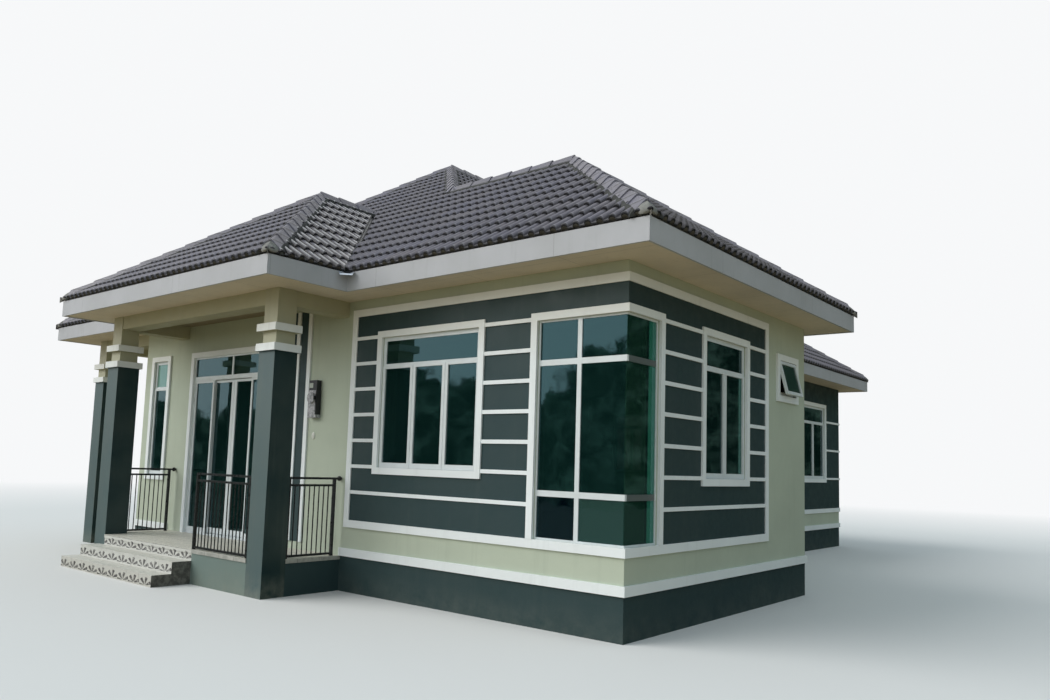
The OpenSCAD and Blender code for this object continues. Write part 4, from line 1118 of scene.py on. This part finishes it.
def add_eaves_strip(material):
    """A board on the fascia that closes the gap up to the tiles, mitred at the corners."""
    outline = [main_fl, valley_l, porch_fl, porch_fr, valley_r, wing_fr, wing_br, wing_valley, main_br, main_bl]
    fascia_in = main_lo.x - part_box("fascia")[0].x
    top = FASCIA_TOP - RISE * fascia_in - STRIP_GAP
    rings = []
    for k, corner in enumerate(outline):
        before = (corner - outline[k - 1]).normalized()
        after = (outline[(k + 1) % len(outline)] - corner).normalized()
        inward = Vector((-before.y, before.x)) + Vector((-after.y, after.x))
        face, back = corner - inward * fascia_in, corner - inward * (fascia_in - STRIP_THICK)
        section = ((face, FASCIA_TOP), (face, top), (back, top), (back, FASCIA_TOP))
        rings.append([Vector((*p, z)) for p, z in section])
    strip = Builder()
    strip.loft(rings, closed=True)
    new_piece(strip.mesh("eaves_strip"), "white_board", material)


def add_switch():
    """The bell's small white switch on the wall under the meter."""
    lo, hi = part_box("meter_box")
    centre = Vector(((lo.x + hi.x) / 2 + SWITCH_PLACE[0], hi.y, lo.z + SWITCH_PLACE[1]))
    turns = [2 * pi * k / SWITCH_SIDES for k in range(SWITCH_SIDES)]
    plate = Builder()
    plate.loft([
        [centre + Vector((SWITCH_HALF[0] * size * cos(a), -out, SWITCH_HALF[1] * size * sin(a)))
         for a in turns]
        for out, size in SWITCH_RINGS
    ])
    material = plastic("switch_plastic", (0.80, 0.82, 0.76), 0.35)
    new_piece(plate.mesh("bell_switch"), "meter_plastic", material)


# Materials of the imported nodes


def dress(material, *names):
    for name in names:
        mesh = nodes[name].data
        mesh.materials.clear()
        mesh.materials.append(material)


def levels_of(name):
    """Heights at which a node's outline changes."""
    return sorted({round(v.co.z, 4) for v in nodes[name].data.vertices})


ring_levels = levels_of("right_column")
porch_levels = levels_of("porch_floor")
# Painted shade: the boards' white is darker than the trims'
white_board = board("white_board", SHADED_WHITE_BOARD, 0.5, 2.4)

dress(painted("wall_render", WALL, 0.62, 0.55), "front_wall_left", "front_wall_over_door", "front_wall_right",
      "right_wall", "wing_rear_wall", "main_side_wall", "rear_wall", "left_wall")
dress(painted("dark_render", DARK, 0.5, 0.25), "base_slab", "dark_render")
dress(painted("white_trim", WHITE, 0.5, 0.35), "plinth_band", "facade_strips", "upright_stripes",
      "window_surrounds", "door_surround")
dress(painted("beam_render", BEAM, 0.62, 0.4), "porch_beams", "verandah_beams")
dress(banded("column_render", ring_levels[1:-1], [LIT_COLUMN_DARK, WHITE, BEAM, WHITE, BEAM], 0.5),
      "right_column", "left_column", "verandah_columns")
dress(white_board, "fascia")
dress(board("ceiling_boards", CREAM, 0.6, 1.2, PORCH_CEILING_SHADE), "ceiling")
dress(aluminium(), "window_frames", "corner_window_frame", "door_frame", "left_fixed_leaf",
      "right_fixed_leaf", "left_sliding_leaf", "right_sliding_leaf")
dress(sash(*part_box("bathroom_sash")), "bathroom_sash")
dress(glass(), "window_glass", "door_glass", "left_leaf_glass", "right_leaf_glass")
dress(steel(), "front_railing", "right_railing", "left_railing")
dress(porch_stone(porch_levels[1], porch_levels[-1], *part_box("upper_step")), "porch_floor")
dress(step_stone(), "lower_step", "upper_step")
dress(meter_case(levels_of("meter_box")[-2], *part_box("meter_box")), "meter_box")
add_switch()
add_eaves_strip(white_board)

# Studio

FLOOR_HALF = 150
FLOOR_PALE = (0.72, 0.72, 0.71)
FLOOR_BOUNCE = (0.42, 0.36, 0.25)
FLOOR_MIRRORED = (0.07, 0.08, 0.065)
BACKDROP = (0.93, 0.94, 0.95)
SKY_BRIGHT = 1.08
SKY_DIM = 0.40
SKY_FROM = Vector((-0.48, -0.85, 0.0))
SKY_FALL = 1.4
SKY_FRONT = (0.96, 0.98, 1.0)
SKY_BACK = (0.76, 0.98, 1.08)
KEY_LIGHT = 1.85
KEY_COLOUR = (1.0, 0.985, 0.96)
KEY_AHEAD = Vector((0.60, 0.64, -0.62))
KEY_SPREAD = 50
CARD_RADIUS = 26.0
CARD_COUNT = 360
# Height of the cards by direction in degrees: trees across the way, tall ones at the right of the house
SKYLINE = [
    (0, 16), (85, 16), (115, 7), (200, 4.6), (212, 3.9), (222, 3.6), (228, 4.4), (232, 7.0), (235, 6.7),
    (236.5, 5.7), (240, 5.2), (242, 4.9), (244, 4.6), (248, 4.4), (249.5, 4.9), (251, 5.7), (252, 6.4),
    (253.5, 6.9), (257, 6.8), (260, 5.0), (285, 5.5), (300, 14), (360, 16),
]


def make_floor():
    """Pale floor that fades into the backdrop far out. Mirrors see it darker, as earth would be."""
    mat = Material("studio_floor")
    x, y, _ = mat.split()
    far = mat.maths("POWER", mat.maths("ADD", mat.times(x, x), mat.times(y, y)), 0.5)
    path = mat.add("ShaderNodeLightPath").outputs
    colour = mat.mix(path["Is Camera Ray"], FLOOR_BOUNCE, FLOOR_PALE)
    mat.finish(mat.mix(path["Is Glossy Ray"], colour, FLOOR_MIRRORED), 0.9, specular=0.1)
    seen = mat.times(mat.remap(far, 14.0, 34.0), path["Is Camera Ray"])
    mat.surface(mat.blend(seen, mat.bsdf.outputs[0], mat.glow(BACKDROP)))
    corners = [(x * FLOOR_HALF, y * FLOOR_HALF, 0) for x, y in ((-1, -1), (1, -1), (1, 1), (-1, 1))]
    new_object("floor", mesh_from("floor", corners, [(0, 1, 2, 3)]), mat.data)


def skyline(turn):
    """Height of the cards in a direction."""
    for (a, low), (b, high) in zip(SKYLINE, SKYLINE[1:]):
        if a <= turn <= b:
            return low + (high - low) * (turn - a) / (b - a)


def card_leaves():
    """Painted reflection: glowing dark leaves with a ragged upper edge."""
    mat = Material("studio_card")
    leaves = mat.cloud(1.1, 7, (0.47, 0.66), rough=0.75)
    glow = mat.glow(mat.mix(leaves, (0.005, 0.012, 0.009), (0.15, 0.22, 0.17)))
    rise = mat.add("ShaderNodeAttribute", attribute_name="rise").outputs["Fac"]
    ragged = mat.maths("ADD", rise, mat.cloud(0.8, 7, to=(-0.12, 0.12), rough=0.7))
    clear = mat.add("ShaderNodeBsdfTransparent").outputs[0]
    mat.surface(mat.blend(mat.remap(ragged, 0.90, 0.93), glow, clear))
    return mat.data


def make_cards():
    """A ring of dark studio cards that only mirrors see, as the trees and houses across the way."""
    points, faces, rises = [], [], []
    for k in range(CARD_COUNT):
        turn = 360 * k / CARD_COUNT
        a = radians(turn)
        for level, rise in ((-0.2, 0.0), (skyline(turn), 1.0)):
            points.append((CARD_RADIUS * cos(a), CARD_RADIUS * sin(a), level))
            rises.append(rise)
        here, after = 2 * k, 2 * ((k + 1) % CARD_COUNT)
        faces.append((here, after, after + 1, here + 1))
    mesh = mesh_from("cards", points, faces)
    mesh.attributes.new("rise", "FLOAT", "POINT").data.foreach_set("value", rises)
    cards = new_object("cards", mesh, card_leaves())
    cards.visible_camera = cards.visible_diffuse = False
    cards.visible_shadow = cards.visible_transmission = False


def make_world():
    """Sky that is brighter to the front left. Cameras and mirrors see a plain backdrop."""
    scene.world = bpy.data.worlds.new("studio")
    scene.world.use_nodes = True
    world = Nodes(scene.world.node_tree)
    sky = world.tree.nodes["Background"]
    towards = world.add("ShaderNodeVectorMath", operation="DOT_PRODUCT")
    world.wire(world.add("ShaderNodeTexCoord").outputs["Generated"], towards.inputs[0])
    towards.inputs[1].default_value = SKY_FROM.normalized()
    fall = world.maths("POWER", world.remap(towards.outputs["Value"], -1, 1), SKY_FALL)
    world.wire(world.remap(fall, 0, 1, SKY_DIM, SKY_BRIGHT), sky.inputs["Strength"])
    world.wire(world.mix(fall, SKY_BACK, SKY_FRONT), sky.inputs["Color"])
    seen = world.add("ShaderNodeBackground")
    world.paint(BACKDROP, seen.inputs["Color"])
    path = world.add("ShaderNodeLightPath").outputs
    plain = world.maths("MAXIMUM", path["Is Camera Ray"], path["Is Glossy Ray"])
    surface = world.blend(plain, sky.outputs[0], seen.outputs[0])
    world.wire(surface, world.tree.nodes["World Output"].inputs["Surface"])


def make_key():
    """One broad, soft light from the front left, high up."""
    data = bpy.data.lights.new("key", "SUN")
    data.energy = KEY_LIGHT
    data.angle = radians(KEY_SPREAD)
    data.color = KEY_COLOUR
    key = new_object("key", data)
    key.rotation_mode = "QUATERNION"
    key.rotation_quaternion = KEY_AHEAD.to_track_quat("-Z", "Y")


make_floor()
make_cards()
make_world()
make_key()
